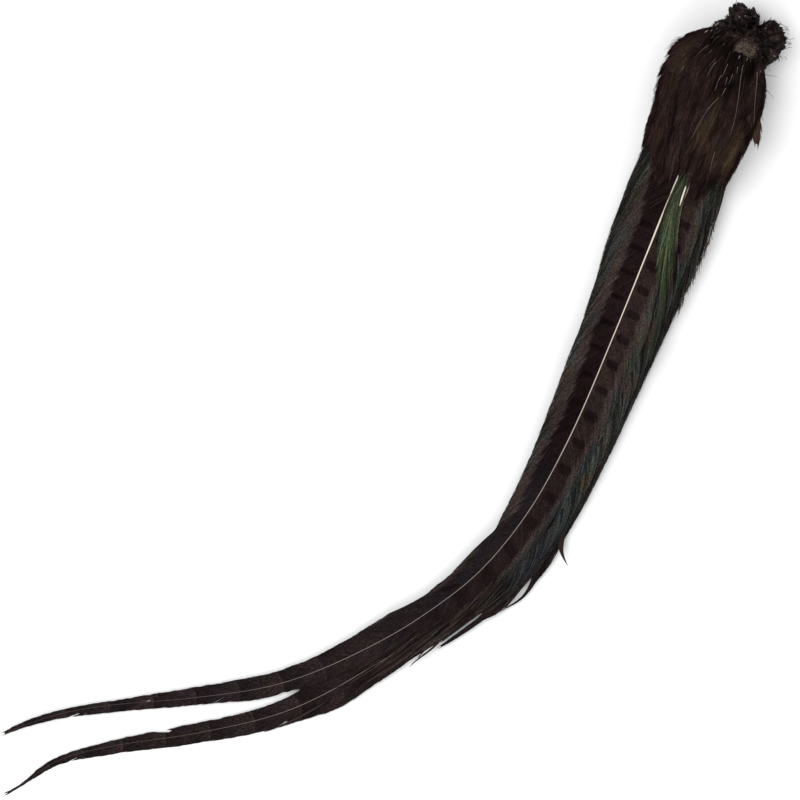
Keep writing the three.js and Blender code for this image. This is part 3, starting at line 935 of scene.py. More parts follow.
def skin_material(name, colours):
    """Dried skin: near black and a little glossy, browner in patches, with a tan patch and dry flakes, and
    painted shade in its hollows and between its crumbs.
    """
    material, g, shader = blank_material(name)
    where = g.node("ShaderNodeTexCoord").outputs["Object"]
    patch_at = tuple(place(np.array(TAN_PATCH[0]), np.array(TAN_PATCH[1]), TAN_PATCH[2]) * MM)
    offset = g.node("ShaderNodeVectorMath", {0: where, 1: patch_at}, operation="DISTANCE").outputs["Value"]
    crumbs = g.noise(where, 900.0, 5.0, 0.65)
    blotches = g.noise(where, 260.0, 3.0, 0.6)
    colour = g.mix(g.step(blotches, 0.36, 0.6), colours.skin, colours.skin_light)
    patch = g.maths("ADD", offset, g.maths("MULTIPLY", blotches, 0.013))
    patch = g.maths("SUBTRACT", 1.0, g.step(patch, 0.0075, 0.0165))
    colour = g.mix(g.maths("MULTIPLY", patch, 0.62), colour, colours.skin_patch)
    # Painted shade: the stump's depth darkens the skin in its hollows and lightens it on its lumps.
    painted_hollow_shade = g.split(g.attribute("tone"))[0]
    colour = shaded(g, colour, painted_hollow_shade, 0.8)
    # Painted shade: the crumbs' noise, which is also their bump, darkens the skin where they are low and
    # lightens it where they are high.
    colour = shaded(g, colour, g.step(crumbs, 0.3, 0.7), 0.75)
    flakes = g.step(g.noise(where, 420.0, 1.0), 0.70, 0.75)
    colour = g.mix(g.maths("MULTIPLY", flakes, 0.6), colour, colours.skin_flake)
    colour = grained(g, colour, 0.3)
    bump = g.node("ShaderNodeBump", {"Strength": 0.9, "Distance": 0.0006, "Height": crumbs})
    wire(g, shader, Base_Color=colour, Roughness=0.45, Specular_IOR_Level=0.05, Normal=bump.outputs[0])
    return material


# ---------------------------------------------------------------- settings


def colour_property(label, text, value):
    return FloatVectorProperty(
        name=label, description=text, subtype="COLOR", size=4, min=0, max=1, default=(*value, 1)
    )


class TailColours(bpy.types.PropertyGroup):
    """The colours of the plumage, the horn and the skin."""

    inner_left: colour_property("Inner, left", "Barred zone of the left vanes", (0.0115, 0.0062, 0.0067))
    inner_right: colour_property("Inner, right", "Barred zone of the right vanes", (0.0214, 0.0138, 0.0122))
    bar: colour_property("Bars", "The dark bars", (0.0044, 0.0016, 0.0019))
    band: colour_property("Band", "The paler band outside the bars", (0.0363, 0.0271, 0.0250))
    fringe: colour_property("Fringe", "The loose fringe", (0.0315, 0.0250, 0.0201))
    gloss: colour_property("Gloss", "Glossy locks of the fringe", (0.0238, 0.0264, 0.0240))
    slate: colour_property("Slate fringe", "Fringes near the bend", (0.0136, 0.0143, 0.0167))
    tip: colour_property("Tips", "The long tips between their bars", (0.0159, 0.0105, 0.0111))
    green: colour_property("Green", "The long glossy covert", (0.0533, 0.0666, 0.0351))
    covert_dark: colour_property("Coverts, dark", "Darker barbs of the coverts", (0.0062, 0.0025, 0.0028))
    covert_light: colour_property("Coverts, light", "Lighter barbs of the coverts", (0.0327, 0.0184, 0.0175))
    covert_gloss: colour_property("Coverts, gloss", "Olive locks of the coverts", (0.0502, 0.0363, 0.0192))
    horn: colour_property("Horn", "Shafts near their roots", (0.68, 0.61, 0.51))
    horn_tip: colour_property("Horn, tip", "Shafts near their tips", (0.215, 0.190, 0.175))
    skin: colour_property("Skin", "Dried skin", (0.0028, 0.0016, 0.0016))
    skin_light: colour_property("Skin, light", "Lighter blotches of the skin", (0.0240, 0.0151, 0.0159))
    skin_patch: colour_property("Skin, dry", "Where the skin dried tan", (0.1180, 0.0900, 0.0720))
    skin_flake: colour_property("Skin, flakes", "Dry flakes and grit on the skin", (0.2709, 0.2255, 0.1913))
    quill: colour_property("Quills", "Bare quills of the small feathers", (0.3100, 0.2600, 0.2240))
    horn_end: colour_property("Horn, end", "Shafts at their very tips", (0.062, 0.050, 0.047))
    rim: colour_property("Rim", "The two edges of the central shafts", (0.16, 0.07, 0.035))


class TailSizes(bpy.types.PropertyGroup):
    """The sizes that a user would change."""

    shaft_width: FloatProperty(
        name="Shaft width", description="Width of the central shafts where they come out of the coverts",
        default=0.0008, min=0.0004, max=0.004, unit="LENGTH", precision=5,
    )
    stump_rough: FloatProperty(
        name="Stump roughness", description="Depth of the lumps on the dried skin", default=0.0014,
        min=0, max=0.004, unit="LENGTH", precision=5,
    )
    rump_feathers: IntProperty(
        name="Rump feathers", description="Number of small feathers round the stump", default=34, min=0,
        max=200,
    )
    hairs: IntProperty(
        name="Hairs", description="Number of short hairs round the stump", default=90, min=0, max=300,
    )
    covert_hairs: IntProperty(
        name="Covert hairs", description="Number of long soft hairs over the coverts", default=4200, min=0,
        max=8000,
    )


class StageSettings(bpy.types.PropertyGroup):
    """The floor, the lights and the camera."""

    lens: FloatProperty(
        name="Lens", description="Focal length of the camera", default=200, min=20, max=400, unit="CAMERA",
    )
    view_width: FloatProperty(
        name="View width", description="Width of the floor that the camera sees", default=0.376, min=0.05,
        max=2, unit="LENGTH",
    )
    world_light: FloatProperty(
        name="World light", description="Strength of the light from all round", default=0.75, min=0, max=5,
    )
    key_light: FloatProperty(
        name="Key light", description="Power of the large soft light above", default=9, min=0, max=200,
        unit="POWER",
    )


def colours():
    return bpy.context.scene.tail_colours


def sizes():
    return bpy.context.scene.tail_sizes


# ---------------------------------------------------------------- the pieces

# The outlines of the two central feathers, as (s, width), where they show against the light.
LEFT_OUTER = [
    (20, 1), (36, 8), (60, 15), (90, 17.5), (110, 17), (130, 15.2), (150, 15.9), (165, 15.7),
    (180, 14.8), (200, 13.3), (228, 10.6), (240, 9.6), (250, 8.3), (255, 7.3), (262, 8.3), (270, 9.1),
    (279, 8.8), (286, 7.6), (294, 7.7), (302, 6.7), (310, 7), (316, 7.9), (322, 8.4), (333, 7.7),
    (345, 6.6), (360, 5.6), (380, 5.2), (400, 5.2), (430, 4.2), (443, 3.3), (453, 2.4), (461, 1.7),
    (480, 1.7), (492, 1.6), (505, 1.7), (513, 1.1), (517, 0.8), (521, 0.1),
]
LEFT_INNER = [
    (20, 0.5), (60, 2.6), (74, 3.6), (90, 6.5), (108, 10.5), (135, 13.8), (200, 13.4), (280, 10.4),
    (318, 9.4), (328, 8.6), (336, 7.2), (345, 6.7), (360, 6.8), (371, 6.5), (379, 5.3), (397, 5.5),
    (409, 4.4), (422, 3.7), (443, 3.5), (462, 3.5), (480, 2.9), (488, 2.2), (497, 1.6), (505, 0.9),
    (512, 0.6), (516, 0.6), (521, 0.1),
]
RIGHT_INNER = [
    (20, 1), (60, 10), (90, 12), (200, 12), (300, 9), (350, 7.9), (362, 8.1), (372, 7.5), (379, 6.1),
    (400, 4.8), (430, 4.6), (450, 3.3), (470, 2.1), (490, 1.7), (508, 1.5), (512, 0.7), (515, 0.5),
    (525, 0.4),
]
RIGHT_OUTER = [
    (20, 1), (60, 10), (90, 12.5), (150, 12), (250, 10.5), (275, 9), (288, 7.4), (307, 7.9), (313, 6.7),
    (320, 6.3), (326, 6.9), (333, 7.4), (348, 8.4), (362, 9.2), (378, 6.6), (400, 5.6), (430, 4.6),
    (470, 3.6), (490, 2.2), (508, 1.1), (512, 0.7), (515, 0.45), (525, 0.35),
]
LEFT_SHAFT = [
    (9, 0), (62, -0.5), (80, -0.5), (100, -0.3), (120, -0.3), (145, -0.5), (180, 0), (200, 0.2),
    (230, -0.2), (260, -0.3), (290, 0.2), (320, 0.9), (350, 1.2), (380, 0.7), (410, 0.5), (440, 0.1),
    (518, 0),
]
# How far out the paler band and the fringe begin, as (s, millimetres), on the visible vanes.
LEFT_BAND = {
    -1: [
        (60, 12), (80, 10), (92, 8.5), (120, 8.3), (143, 9.2), (168, 8.2), (185, 6.8), (200, 7.6),
        (215, 7.6), (228, 6.4), (240, 4.4), (248, 5.4), (255, 8.2), (262, 8.8), (268, 7.4), (280, 7),
        (288, 5.8), (298, 5.8), (305, 7.6), (315, 11), (500, 14),
    ],
    1: [(60, 8), (127, 8.2), (200, 8), (240, 7.6), (282, 7.8), (300, 9.5), (330, 15)],
}
LEFT_FRINGE = {
    -1: [
        (60, 13.6), (80, 13), (100, 12.3), (140, 12.8), (170, 12), (200, 10.6), (230, 9.6), (250, 9.4),
        (262, 13),
    ],
    1: [(60, 10.5), (127, 10.4), (200, 10.3), (230, 9.8), (282, 9), (300, 11), (330, 17)],
}
RIGHT_BAND = {
    -1: [(60, 8), (300, 8)],
    1: [(60, 8), (100, 7.2), (118, 4), (200, 3.2), (300, 2.4), (320, 9), (500, 12)],
}
RIGHT_FRINGE = {
    -1: [(60, 11), (300, 11)],
    1: [(60, 9.4), (100, 8.6), (118, 5.2), (200, 4.2), (300, 3.6), (320, 12)],
}
# Where the vanes are split, as (root, gap, from, to), the last two as shares of the barbs' length.
LEFT_OUTER_SPLITS = [(443, 3.2, -0.3, 0.0), (151, 1.0, 0.4, 2), (172, 0.8, 0.45, 2), (120, 0.7, 0.5, 2)]
LEFT_INNER_SPLITS = [(474, 1.6, 0.45, 2), (399, 0.9, 0.7, 2)]
RIGHT_INNER_SPLITS = [(432, 3.4, 0.5, 2)]
RIGHT_OUTER_SPLITS = [(376, 1.4, 0.1, 2), (480, 1.5, 0.45, 2)]


# The central shafts' thickness, as (s, share of the width where they come out of the coverts).
SHAFT_TAPER = [
    (8, 1.1), (70, 1.08), (80, 0.96), (91, 1.3), (102, 0.96), (120, 0.78), (140, 0.68), (170, 0.61),
    (200, 0.66), (216, 0.52), (240, 0.47), (290, 0.38), (350, 0.31), (400, 0.23), (470, 0.17), (518, 0.1),
]


class TAIL_OT_central_feathers(bpy.types.Operator):
    """Make the two long central feathers"""

    bl_idname = "tail.central_feathers"
    bl_label = "Central feathers"

    def execute(self, context):
        width = sizes().shaft_width / MM
        stations, shares = np.array(SHAFT_TAPER).T
        thickness = tapering(stations, width * shares)
        c = colours()
        shaft = shaft_material("Central shaft", c.horn, c.horn_tip, 0.2, 0.5, c.rim, c.horn_end)
        sets = [
            ("left", LEFT_OUTER, LEFT_INNER, (LEFT_OUTER_SPLITS, LEFT_INNER_SPLITS), LEFT_BAND, LEFT_FRINGE,
             401.1, (0.32, 0.5), 2, 11),
            ("right", RIGHT_INNER, RIGHT_OUTER, (RIGHT_INNER_SPLITS, RIGHT_OUTER_SPLITS), RIGHT_BAND,
             RIGHT_FRINGE, 396.8, (0.1, 0.5), 4, 17),
        ]
        for side, left, right, splits, bands, fringes, segments, high, more, seed in sets:
            node = f"central_tail_feather_{side}"
            blade = blade_of(node, left, right)
            blade.length += more
            if side == "left":
                blade = moved(blade, LEFT_SHAFT)
            vane = vane_material(f"Central vane {side}", c, segments)
            rng = np.random.default_rng(seed)
            skin = Skin()
            for way, split in zip((-1, 1), splits):
                zones = [through(lines[way], 3) for lines in (bands, fringes)]
                tint = [lambda s, v, zone=zone: zone(s) for zone in zones]
                lay_vane(skin, blade, way, CENTRAL_VANE, rng, seed + way, thickness, split,
                         first=24, tint=tint)
            lay_shaft(skin, blade, thickness, 1, 220, 1.5, high)
            skin.build(f"central_feather_{side}", [vane, shaft], [node])
        return {"FINISHED"}


def slender(blade):
    """The blade with its last stretch drawn out to a slender tip."""
    shares = 1 - np.array([0, 6, 14, 26, 45]) / blade.length
    narrow = curve(shares[::-1] * blade.length, [1, 0.62, 0.3, 0.16, 0.08], 3)
    left, right = blade.left, blade.right
    blade.left, blade.right = (lambda s: left(s) * narrow(s)), (lambda s: right(s) * narrow(s))
    return blade


# Feathers whose slender tips lie free: the shaft as (s, v), then the two widths as (s, width).
SEEN_TIPS = {
    "tail_feather_right_3": (
        [
            (9, 10.5), (108, 10.5), (157, 10.7), (207, 11.8), (256, 14.4), (272, 16), (285, 17.3),
            (295, 17.6), (310, 17.6),
        ],
        [
            (9, 1), (58, 7.9), (108, 9), (157, 9), (207, 8.3), (256, 5.9), (278, 3), (286, 1), (297, 1),
            (305, 0.7), (311, 0.2),
        ],
        [
            (9, 1), (58, 7.4), (108, 8.5), (157, 8.5), (207, 7.8), (256, 5.3), (268, 4.4), (276, 4.7),
            (282, 3.6), (286, 1.5), (297, 1), (305, 0.7), (311, 0.2),
        ],
    ),
    "tail_feather_right_4": (
        [
            (9, 12.5), (99, 12.5), (144, 12.7), (189, 14.3), (234, 17.8), (250, 19.3), (258, 20.6),
            (263, 22.2), (267, 23.2), (271, 22.9), (278, 20.8),
        ],
        [
            (9, 1), (54, 7.6), (99, 10), (144, 10), (189, 9.2), (234, 6), (250, 3.6), (258, 1.8),
            (264, 0.6), (270, 0.4), (279, 0.1),
        ],
        [
            (9, 1), (54, 6.2), (99, 8), (144, 8), (189, 6.6), (220, 4.2), (234, 3.2), (244, 2.8),
            (251, 3.6), (257, 2.6), (262, 1.3), (267, 0.7), (279, 0.1),
        ],
    ),
    "tail_feather_right_5": (
        [(9, 14), (93, 13.6), (135, 13.7), (178, 15), (220, 17.2), (252, 18.8)],
        [(9, 1), (51, 6.9), (93, 10), (135, 10), (178, 9.2), (220, 6), (252, 0.4)],
        [
            (9, 1), (51, 6.8), (75, 9.4), (93, 11.4), (108, 10.8), (122, 9.6), (135, 8.8), (157, 7.3),
            (178, 6), (220, 3.8), (240, 2.2), (252, 0.4),
        ],
    ),
}


class TAIL_OT_outer_feathers(bpy.types.Operator):
    """Make the eight outer pairs of tail feathers"""

    bl_idname = "tail.outer_feathers"
    bl_label = "Outer feathers"

    def execute(self, context):
        c = colours()
        shaft = shaft_material("Outer shaft", c.horn_end, c.bar, 0.2, 0.7)
        fringe = (*(0.45 * np.array(c.fringe[:3]) + 0.55 * np.array(c.gloss[:3])), 1)
        vane = vane_material("Outer vane", c, bars=0.3, segments_from=1.0, fringe=fringe)
        for pair, side in itertools.product(range(2, 10), ("left", "right")):
            node = f"tail_feather_{side}_{pair}"
            seed = 20 + 4 * pair + (side == "right")
            blade = blade_of(node)
            if node in SEEN_TIPS:
                line, left, right = SEEN_TIPS[node]
                stations, values = np.array(line).T
                blade.length = stations[-1]
                blade.shaft = curve(stations, values, 2)
                blade.left, blade.right = (through(side, 1.5) for side in (left, right))
            else:
                blade = within(slender(blade))
            thickness = tapering([8, 60, blade.length], [0.8, 0.55, 0.1])
            rng = np.random.default_rng(seed)
            skin = Skin()
            for way in (-1, 1):
                lay_vane(skin, blade, way, TAIL_VANE, rng, seed + 40 * way, thickness,
                         first=22, tint=(3, 4.5))
            lay_shaft(skin, blade, thickness, 1, round(blade.length / 4), 3, (0.1, 0.5), sides=6)
            skin.build(f"outer_feather_{side}_{pair}", [vane, shaft], [node])
        return {"FINISHED"}


# The long covert's shaft, as (s, v), and its two widths. A bare quill lies beside its root.
BARE_QUILL = [(68.4, 4.6), (73, 4.9), (78.2, 5.4)]
GREEN_SHAFT = [
    (9, 3.5), (62, 2.9), (70, 2.9), (85, 3.9), (100, 7.6), (112, 11), (126, 15.4), (138, 18.2),
    (152, 20),
]
GREEN_LEFT = [
    (9, 0.5), (50, 1.4), (68, 1.9), (86, 2.9), (99, 4.4), (109, 3.6), (118, 2), (130, 1.1), (152, 0.5),
]
GREEN_RIGHT = [
    (9, 0.5), (50, 0.6), (66, 0.9), (72, 1.5), (81, 2.4), (94, 3), (108, 4), (118, 2.6), (132, 1.2),
    (152, 0.4),
]


GREEN_VANE = COVERT_VANE | {
    "rows": 14, "slant": 12, "least": 40, "spacing": 0.24, "wave": 0.15, "loose": 0.2, "wisps": (2, 8),
    "locks": (6, 20), "ragged": 0.16, "bow": 1.2, "uneven": 0.3, "web": 0.7,
}


class TAIL_OT_long_covert(bpy.types.Operator):
    """Make the long covert with a green gloss"""

    bl_idname = "tail.long_covert"
    bl_label = "Long green covert"

    def execute(self, context):
        node = "long_upper_covert"
        blade = blade_of(node, GREEN_LEFT, GREEN_RIGHT)
        blade.shaft = through(GREEN_SHAFT, 4)
        thickness = tapering([8, 60, 150], [0.5, 0.25, 0.08])
        c = colours()
        deep = (c.green[0] * 0.4, c.green[1] * 0.36, c.green[2] * 0.4, 1)
        vane = plain_vane_material("Green vane", deep, c.gloss, c.green, 0.2, 0.85)
        fade = curve([9, 76, 90, 110, 128, 152], [0.36, 0.46, 0.56, 0.5, 0.34, 0.26])
        greenness = curve([9, 66, 80, 104, 124, 152], [0.2, 0.5, 1, 1, 0.15, 0], 3)
        rng = np.random.default_rng(71)
        skin = Skin()
        for way in (-1, 1):
            lay_vane(skin, blade, way, GREEN_VANE, rng, 72 + way, thickness,
                     tint=(lambda s, v: greenness(s), lambda s, v: fade(s)))
        lay_shaft(skin, blade, thickness, 1, 60, 4, (0.1, 0.5), sides=6)
        bare = strand(BARE_QUILL, 12)
        z = blade.surface(bare[:, 0], bare[:, 1]) + 0.5
        width = np.interp(np.linspace(0, 1, 12), [0, 0.15, 0.7, 1], [0.3, 0.78, 0.86, 0.25])
        lay_tube(skin, place(*bare.T, z), width, (0.516, 0.522), 2, sides=8)
        materials = [vane, quill_material("Green shaft", deep, c.green),
                     shaft_material("Bare quill", c.horn, c.horn, 0.2, 0.5)]
        skin.build("long_green_covert", materials, [node])
        return {"FINISHED"}


def covert_materials():
    """The vane and the shaft of the short coverts, made once."""
    found = [bpy.data.materials.get(name) for name in ("Covert vane", "Covert shaft")]
    if all(found):
        return found
    c = colours()
    return [
        plain_vane_material("Covert vane", c.covert_dark, c.covert_light, c.covert_gloss, 0.4, 0.35),
        quill_material("Covert shaft", c.covert_dark, c.quill),
    ]


# Where the coverts are more olive and paler, as (s, v, reach along, reach across, olive, pale); dark
# places have a negative pale. Elsewhere they are as olive and as pale as ZONE_BASE. Some paint light and
# shade: the three dark bells on a slanted line from s 28 to 37 are painted shadow in the crease between two
# coverts, and the bell at s 49, v 9.7 is a painted highlight.
ZONE_BASE = (0.08, 0.40)
ZONES = [
    (16, -20.5, 9, 2.6, 0.6, 0.2), (21, 0, 6, 4, -0.1, -0.26), (10, 10.4, 8, 2.6, 0, -0.38),
    # Painted highlight: the bell at s 49, v 9.7.
    (17.5, 5.6, 4, 2.2, 0, -0.34), (40, 3.6, 11, 3.6, 0.6, 0.2), (49, 9.7, 8, 2.2, 0.55, 0.2),
    # Painted shadow: the bells at s 28, 32.5 and 37 lie along the dark crease between two coverts.
    (45, 18.2, 12, 3.4, 0.9, 0.34), (63, 13.7, 4, 2.4, -0.08, -0.3), (28, 16.3, 2.8, 1.2, 0, -0.34),
    (32.5, 19.2, 2.8, 1.2, 0, -0.4), (37, 22.2, 2.8, 1.3, 0, -0.42), (1, -4, 11, 15, 0, -0.34),
    (32, -14, 14, 6, 0, -0.07), (54, -19, 8, 3, 0, 0.08), (42, -9, 9, 3, 0.1, -0.06),
    (71, 11.5, 5, 5, -0.1, -0.1), (12, 18.6, 7, 2, 0.1, -0.12), (26, 22.6, 6, 2, 0.1, -0.1),
    (58, 5.4, 6, 3, 0.1, 0.06), (26, -6, 6, 4, 0, -0.1), (57, -13.5, 8, 1.0, 0, -0.28),
    (49, -11.5, 5, 1.0, 0, -0.2), (33, 4, 6, 1.4, 0.2, 0.1), (6, 2, 5, 6, 0, -0.1),
    (47, -3, 12, 1.2, 0, -0.16), (62, -8, 8, 5, 0.04, 0.04),
]


def zoned(which, more=0.0):
    """How olive (0) or how pale (1) the coverts are at s and v: soft bells at ZONES added together. The
    paleness includes a painted crease shadow and a painted highlight.
    """
    def value(s, v):
        total = np.full(np.shape(v), ZONE_BASE[which] + more, float)
        for at, out, along, across, *amounts in ZONES:
            total += amounts[which] * np.exp(-(((s - at) / along) ** 2) - ((v - out) / across) ** 2)
        return np.clip(total, 0.02, 1)

    return value


# Where the lowest rows' visible tips end, in millimetres.
COVERT_ENDS = {
    "upper_covert_1_1": 63,
    "upper_covert_1_2": 74,
    "upper_covert_1_4": 75,
    "upper_covert_1_5": 59,
    "upper_covert_1_3": 66.5,
    "upper_covert_2_1": 56,
    "upper_covert_2_5": 59,
}
ROOT_SINK = (9, 4)
ROUND_TIP = [(0, 0.1), (0.15, 0.55), (0.4, 1), (0.66, 1.0), (0.8, 0.8), (0.92, 0.48), (1, 0.12)]


def rounded(blade):
    """The blade with a full, round tip: its widest width times the shape of ROUND_TIP."""
    shares, parts = np.array(ROUND_TIP).T
    middle = (blade.start + blade.length) / 2
    stations = blade.start + shares * (blade.length - blade.start)
    sides = (blade.left, blade.right)
    blade.left, blade.right = (curve(stations, side(middle) * 1.25 * parts, 2) for side in sides)
    return blade


def sunk(surface, start):
    """The surface with its root let down into what lies under it, over ROOT_SINK's (length, depth)."""
    long, deep = ROOT_SINK
    return lambda s, v: surface(s, v) - deep * (1 - smooth((s - start) / long))


class TAIL_OT_coverts(bpy.types.Operator):
    """Make the short coverts over and under the roots"""

    bl_idname = "tail.coverts"
    bl_label = "Coverts"

    def execute(self, context):
        nodes = sorted(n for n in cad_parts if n.startswith(("upper_covert", "under_covert")))
        for number, node in enumerate(nodes):
            seed = 100 + 3 * number
            blade = blade_of(node)
            blade.length = COVERT_ENDS.get(node, blade.length)
            blade = rounded(blade)
            blade = within(blade)
            run = blade.length - blade.start
            if node.startswith("upper"):
                blade.surface = sunk(blade.surface, blade.start)
            thickness = tapering([blade.start, blade.start + run / 2, blade.length], [0.4, 0.26, 0.08])
            rng = np.random.default_rng(seed)
            tint = (zoned(0), zoned(1, rng.uniform(-0.03, 0.03)))
            skin = Skin()
            for way in (-1, 1):
                lay_vane(skin, blade, way, COVERT_VANE, rng, seed + way, thickness, tint=tint)
            lay_shaft(skin, blade, thickness, 1, 24, 5, sides=6, seed=number)
            skin.build(f"{node}_vane", covert_materials(), [node])
        return {"FINISHED"}


def top_of_coverts():
    """The height of the uppermost covert at distance s, on the middle line, as a curve."""
    stations = [-10, 14, 24, 36, 46, 56, 66, 78]
    rows = [5, 5, 4, 4, 3, 2, 2, 1]
    heights = [blade_of(f"upper_covert_{row}_3").height(min(s, 20)) for s, row in zip(stations, rows)]
    return curve(stations, heights, 3)


DRAPE = {"least": 9.0, "level": 24.4, "from": -4, "fade": 14, "share": 0.85}


def drape(s, v):
    """How far the small feathers come down from the coverts' level to lie on the stump at s and v.

    The stump's top there is the highest of its lobes, ellipsoids. The drop fades out over its front.
    """
    highest = np.full(np.shape(v), DRAPE["least"])
    for at, out, level, long, wide, high in LOBES:
        inside = 1 - ((s - at) / long) ** 2 - ((v - out) / wide) ** 2
        highest = np.maximum(highest, level + high * np.sqrt(np.maximum(inside, 0)))
    behind = 1 - smooth((s - DRAPE["from"]) / DRAPE["fade"])
    return np.maximum(DRAPE["level"] - highest, 0) * behind * DRAPE["share"]


# The small feathers round the stump have no solids of their own: they are tucked in over the shortest
# coverts. SET_FEATHERS are (s, v) of root, middle and tip, then half width, and how much more olive and pale.
RUMP = {"s": (0, 13), "v": (-14, 17), "length": (13, 24), "half_width": (2.0, 3.4)}
SET_FEATHERS = [
    ((12, 12.6), (26, 20.5), (39, 28.2), 3.6, 0.2, 0.40),
    ((24, -19), (42, -21.6), (61, -20.8), 2.6, 0, 0.05),
    ((22, -20), (37, -22.6), (54, -22.2), 2.6, 0, 0.02),
    ((8, 12), (24, 18.5), (39, 23), 2.4, 0, -0.1),
    ((2, 15), (14, 19), (27, 24), 2.4, 0.1, 0),
    ((-2, 11), (8, 16), (20, 22), 2.6, 0.1, 0),
    ((14, 3), (32, 0), (58, -1), 3.2, 0.2, 0.08),
    ((0, -13), (9, -20), (22, -26), 3.0, 0.1, 0.06),
    ((3, -12), (12, -22), (27, -27.4), 3.4, 0, 0.02),
    ((-7, -8), (-2, -15), (6, -22), 2.6, 0, 0.02),
    ((-6, -6), (0, -15), (12, -26), 3.0, 0, 0),
    ((-8, -9), (-4, -14), (1, -20), 2.4, 0, 0),
    ((-4, -8), (4, -15), (16, -22.5), 3.0, 0, 0),
    ((-5, -11), (-1, -17.4), (6, -24), 3.4, 0, 0.03),
    ((-3, -13), (3, -20), (17, -27.6), 3.6, 0.1, 0.04),
    ((-6, -10), (-3, -15), (2.5, -21.6), 3.2, 0, 0.04),
    ((-7, 9), (-1, 13), (6, 16), 2.6, 0, 0),
    ((-5, 11), (3, 14), (12, 19), 2.4, 0, 0),
    ((-2, 8), (6, 12.5), (18, 19.5), 2.6, 0, -0.04),
]
# Those that hang down the flanks, by their levels, roots and lines in millimetres.
FLANKS = {
    "levels": (19.5, 15.5, 11.5, 7.5),
    "roots": (0.5, 7.5),
    "run": 27,
    "steep": 2.4,
    "half_width": 2.4,
    "left": (-12.5, -21),
    "right": (13, 20),
    "top": 21.0,
}
SMALL_VANE = COVERT_VANE | {"spacing": 0.42, "least": 7, "rows": 7, "tip_gap": 3, "wave": 0.3, "ragged": 0.1}
KEPT_CLEAR = ((-6, 8), (0, 11))  # the s and v of the bare tan skin


class TAIL_OT_rump_feathers(bpy.types.Operator):
    """Make the small feathers round the stump"""

    bl_idname = "tail.rump_feathers"
    bl_label = "Rump feathers"

    def execute(self, context):
        rng = np.random.default_rng(5)
        top = top_of_coverts()
        laid = [(*feather[:4], zoned(0, feather[4]), zoned(1, feather[5]), 0.5) for feather in SET_FEATHERS]
        for _ in range(sizes().rump_feathers):
            s, v = rng.uniform(*RUMP["s"]), rng.uniform(*RUMP["v"])
            clear_s, clear_v = KEPT_CLEAR
            if clear_s[0] < s < clear_s[1] and clear_v[0] < v < clear_v[1]:
                s += clear_s[1]
            run = rng.uniform(*RUMP["length"])
            end = v * (1 + 0.022 * run) + rng.normal(0, 0.8)
            middle = (s + run / 2, v + (end - v) * 0.6)
            laid.append(((s, v), middle, (s + run, end), rng.uniform(*RUMP["half_width"]),
                         zoned(0), zoned(1, rng.uniform(-0.08, 0.05)), rng.uniform(-0.8, 0.3)))
        skin = Skin()
        for number, (root, middle, tip, half, olive, pale, rise) in enumerate(laid):
            stations, line = zip(root, middle, tip)
            shaft = curve(stations, line, 2)
            shares, parts = np.array(ROUND_TIP).T
            outline = curve(root[0] + shares * (tip[0] - root[0]), half * parts, 1.2)
            lies = np.array([-1.6 if root[0] > -2 else -5, 0.1, 0.2, 0.2]) + rise
            along = root[0] + np.array([0, 0.25, 0.6, 1]) * (tip[0] - root[0])
            height = curve(along, top(along) + lies, 3)
            blade = Blade(root[0], tip[0], shaft, outline, outline, height)
            blade.surface = lambda s, v, level=height: level(s) - roof_drop(s, v) - drape(s, v)
            blade = blade if tip[1] > 26 else within(blade)
            thickness = tapering([root[0], tip[0]], [0.32, 0.08])
            for way in (-1, 1):
                lay_vane(skin, blade, way, SMALL_VANE, rng, 300 + 2 * number + way, thickness,
                         first=root[0] + 1.5, tint=(olive, pale))
            if root[0] > 1.5:
                lay_shaft(skin, blade, thickness, 1, 10, 2, sides=5, seed=number * 1.7)
        self.lay_flanks(skin, rng)
        skin.build("rump_feathers", covert_materials())
        return {"FINISHED"}


    def lay_flanks(self, skin, rng):
        """Adds the feathers that hang down both flanks: each one's surface falls by steep times v."""
        shares, parts = np.array(ROUND_TIP).T
        rows = itertools.product((-1, 1), FLANKS["levels"], FLANKS["roots"])
        for number, (way, level, root) in enumerate(rows):
            begin, end = FLANKS["left"] if way < 0 else FLANKS["right"]
            root, tip = root + rng.uniform(-1, 1), root + FLANKS["run"] + rng.uniform(-3, 3)
            end = end * (0.8 + 0.01 * level)
            shaft = curve([root, tip], [begin, end], 2)
            outline = curve(root + shares * (tip - root), FLANKS["half_width"] * parts, 1.2)
            blade = within(Blade(root, tip, shaft, outline, outline, lambda s, level=level: level + 0 * s))
            blade.surface = lambda s, v, way=way, level=level, shaft=shaft: np.minimum(
                level - FLANKS["steep"] * way * (v - shaft(s)), FLANKS["top"])
            thickness = tapering([root, tip], [0.32, 0.08])
            for side in (-1, 1):
                lay_vane(skin, blade, side, SMALL_VANE, rng, 500 + 2 * number + side, thickness,
                         first=root + 1.5, tint=(zoned(0), zoned(1, rng.uniform(-0.1, 0.0))))


# The stump's lobes, as (s, v, z, half length, half width, half height): its body, the skin of its neck,
# and the knobs at its back.
LOBES = [
    (-2.4, 1, 8.6, 14, 14, 9.4),
    (-1, 0.4, 15.2, 11, 12.6, 9.3),
    (-15.8, -4.6, 12, 4.2, 4.3, 8.8),
    (-14.4, 0.8, 13, 5.4, 4.8, 9.6),
    (-9.8, -2.1, 13.5, 4.6, 6.4, 9.2),
    (-14.4, 11.8, 12, 4.9, 4.8, 8.8),
    (-12, 15.4, 11, 5, 4.3, 8.2),
    (-5.6, 16.2, 10, 5.6, 4.6, 8),
    (-5, -9, 12, 5.6, 4.4, 8.8),
    (-9.4, 5.2, 11.5, 6, 7, 8.4),
    (1, 12, 11, 5, 5.4, 7.4),
]
LOBE_BLEND = 12  # the sharpness of the crease where two lobes meet
HEART = (-6.0, 4.0, 10.0)
STUMP_GRID = (240, 340)
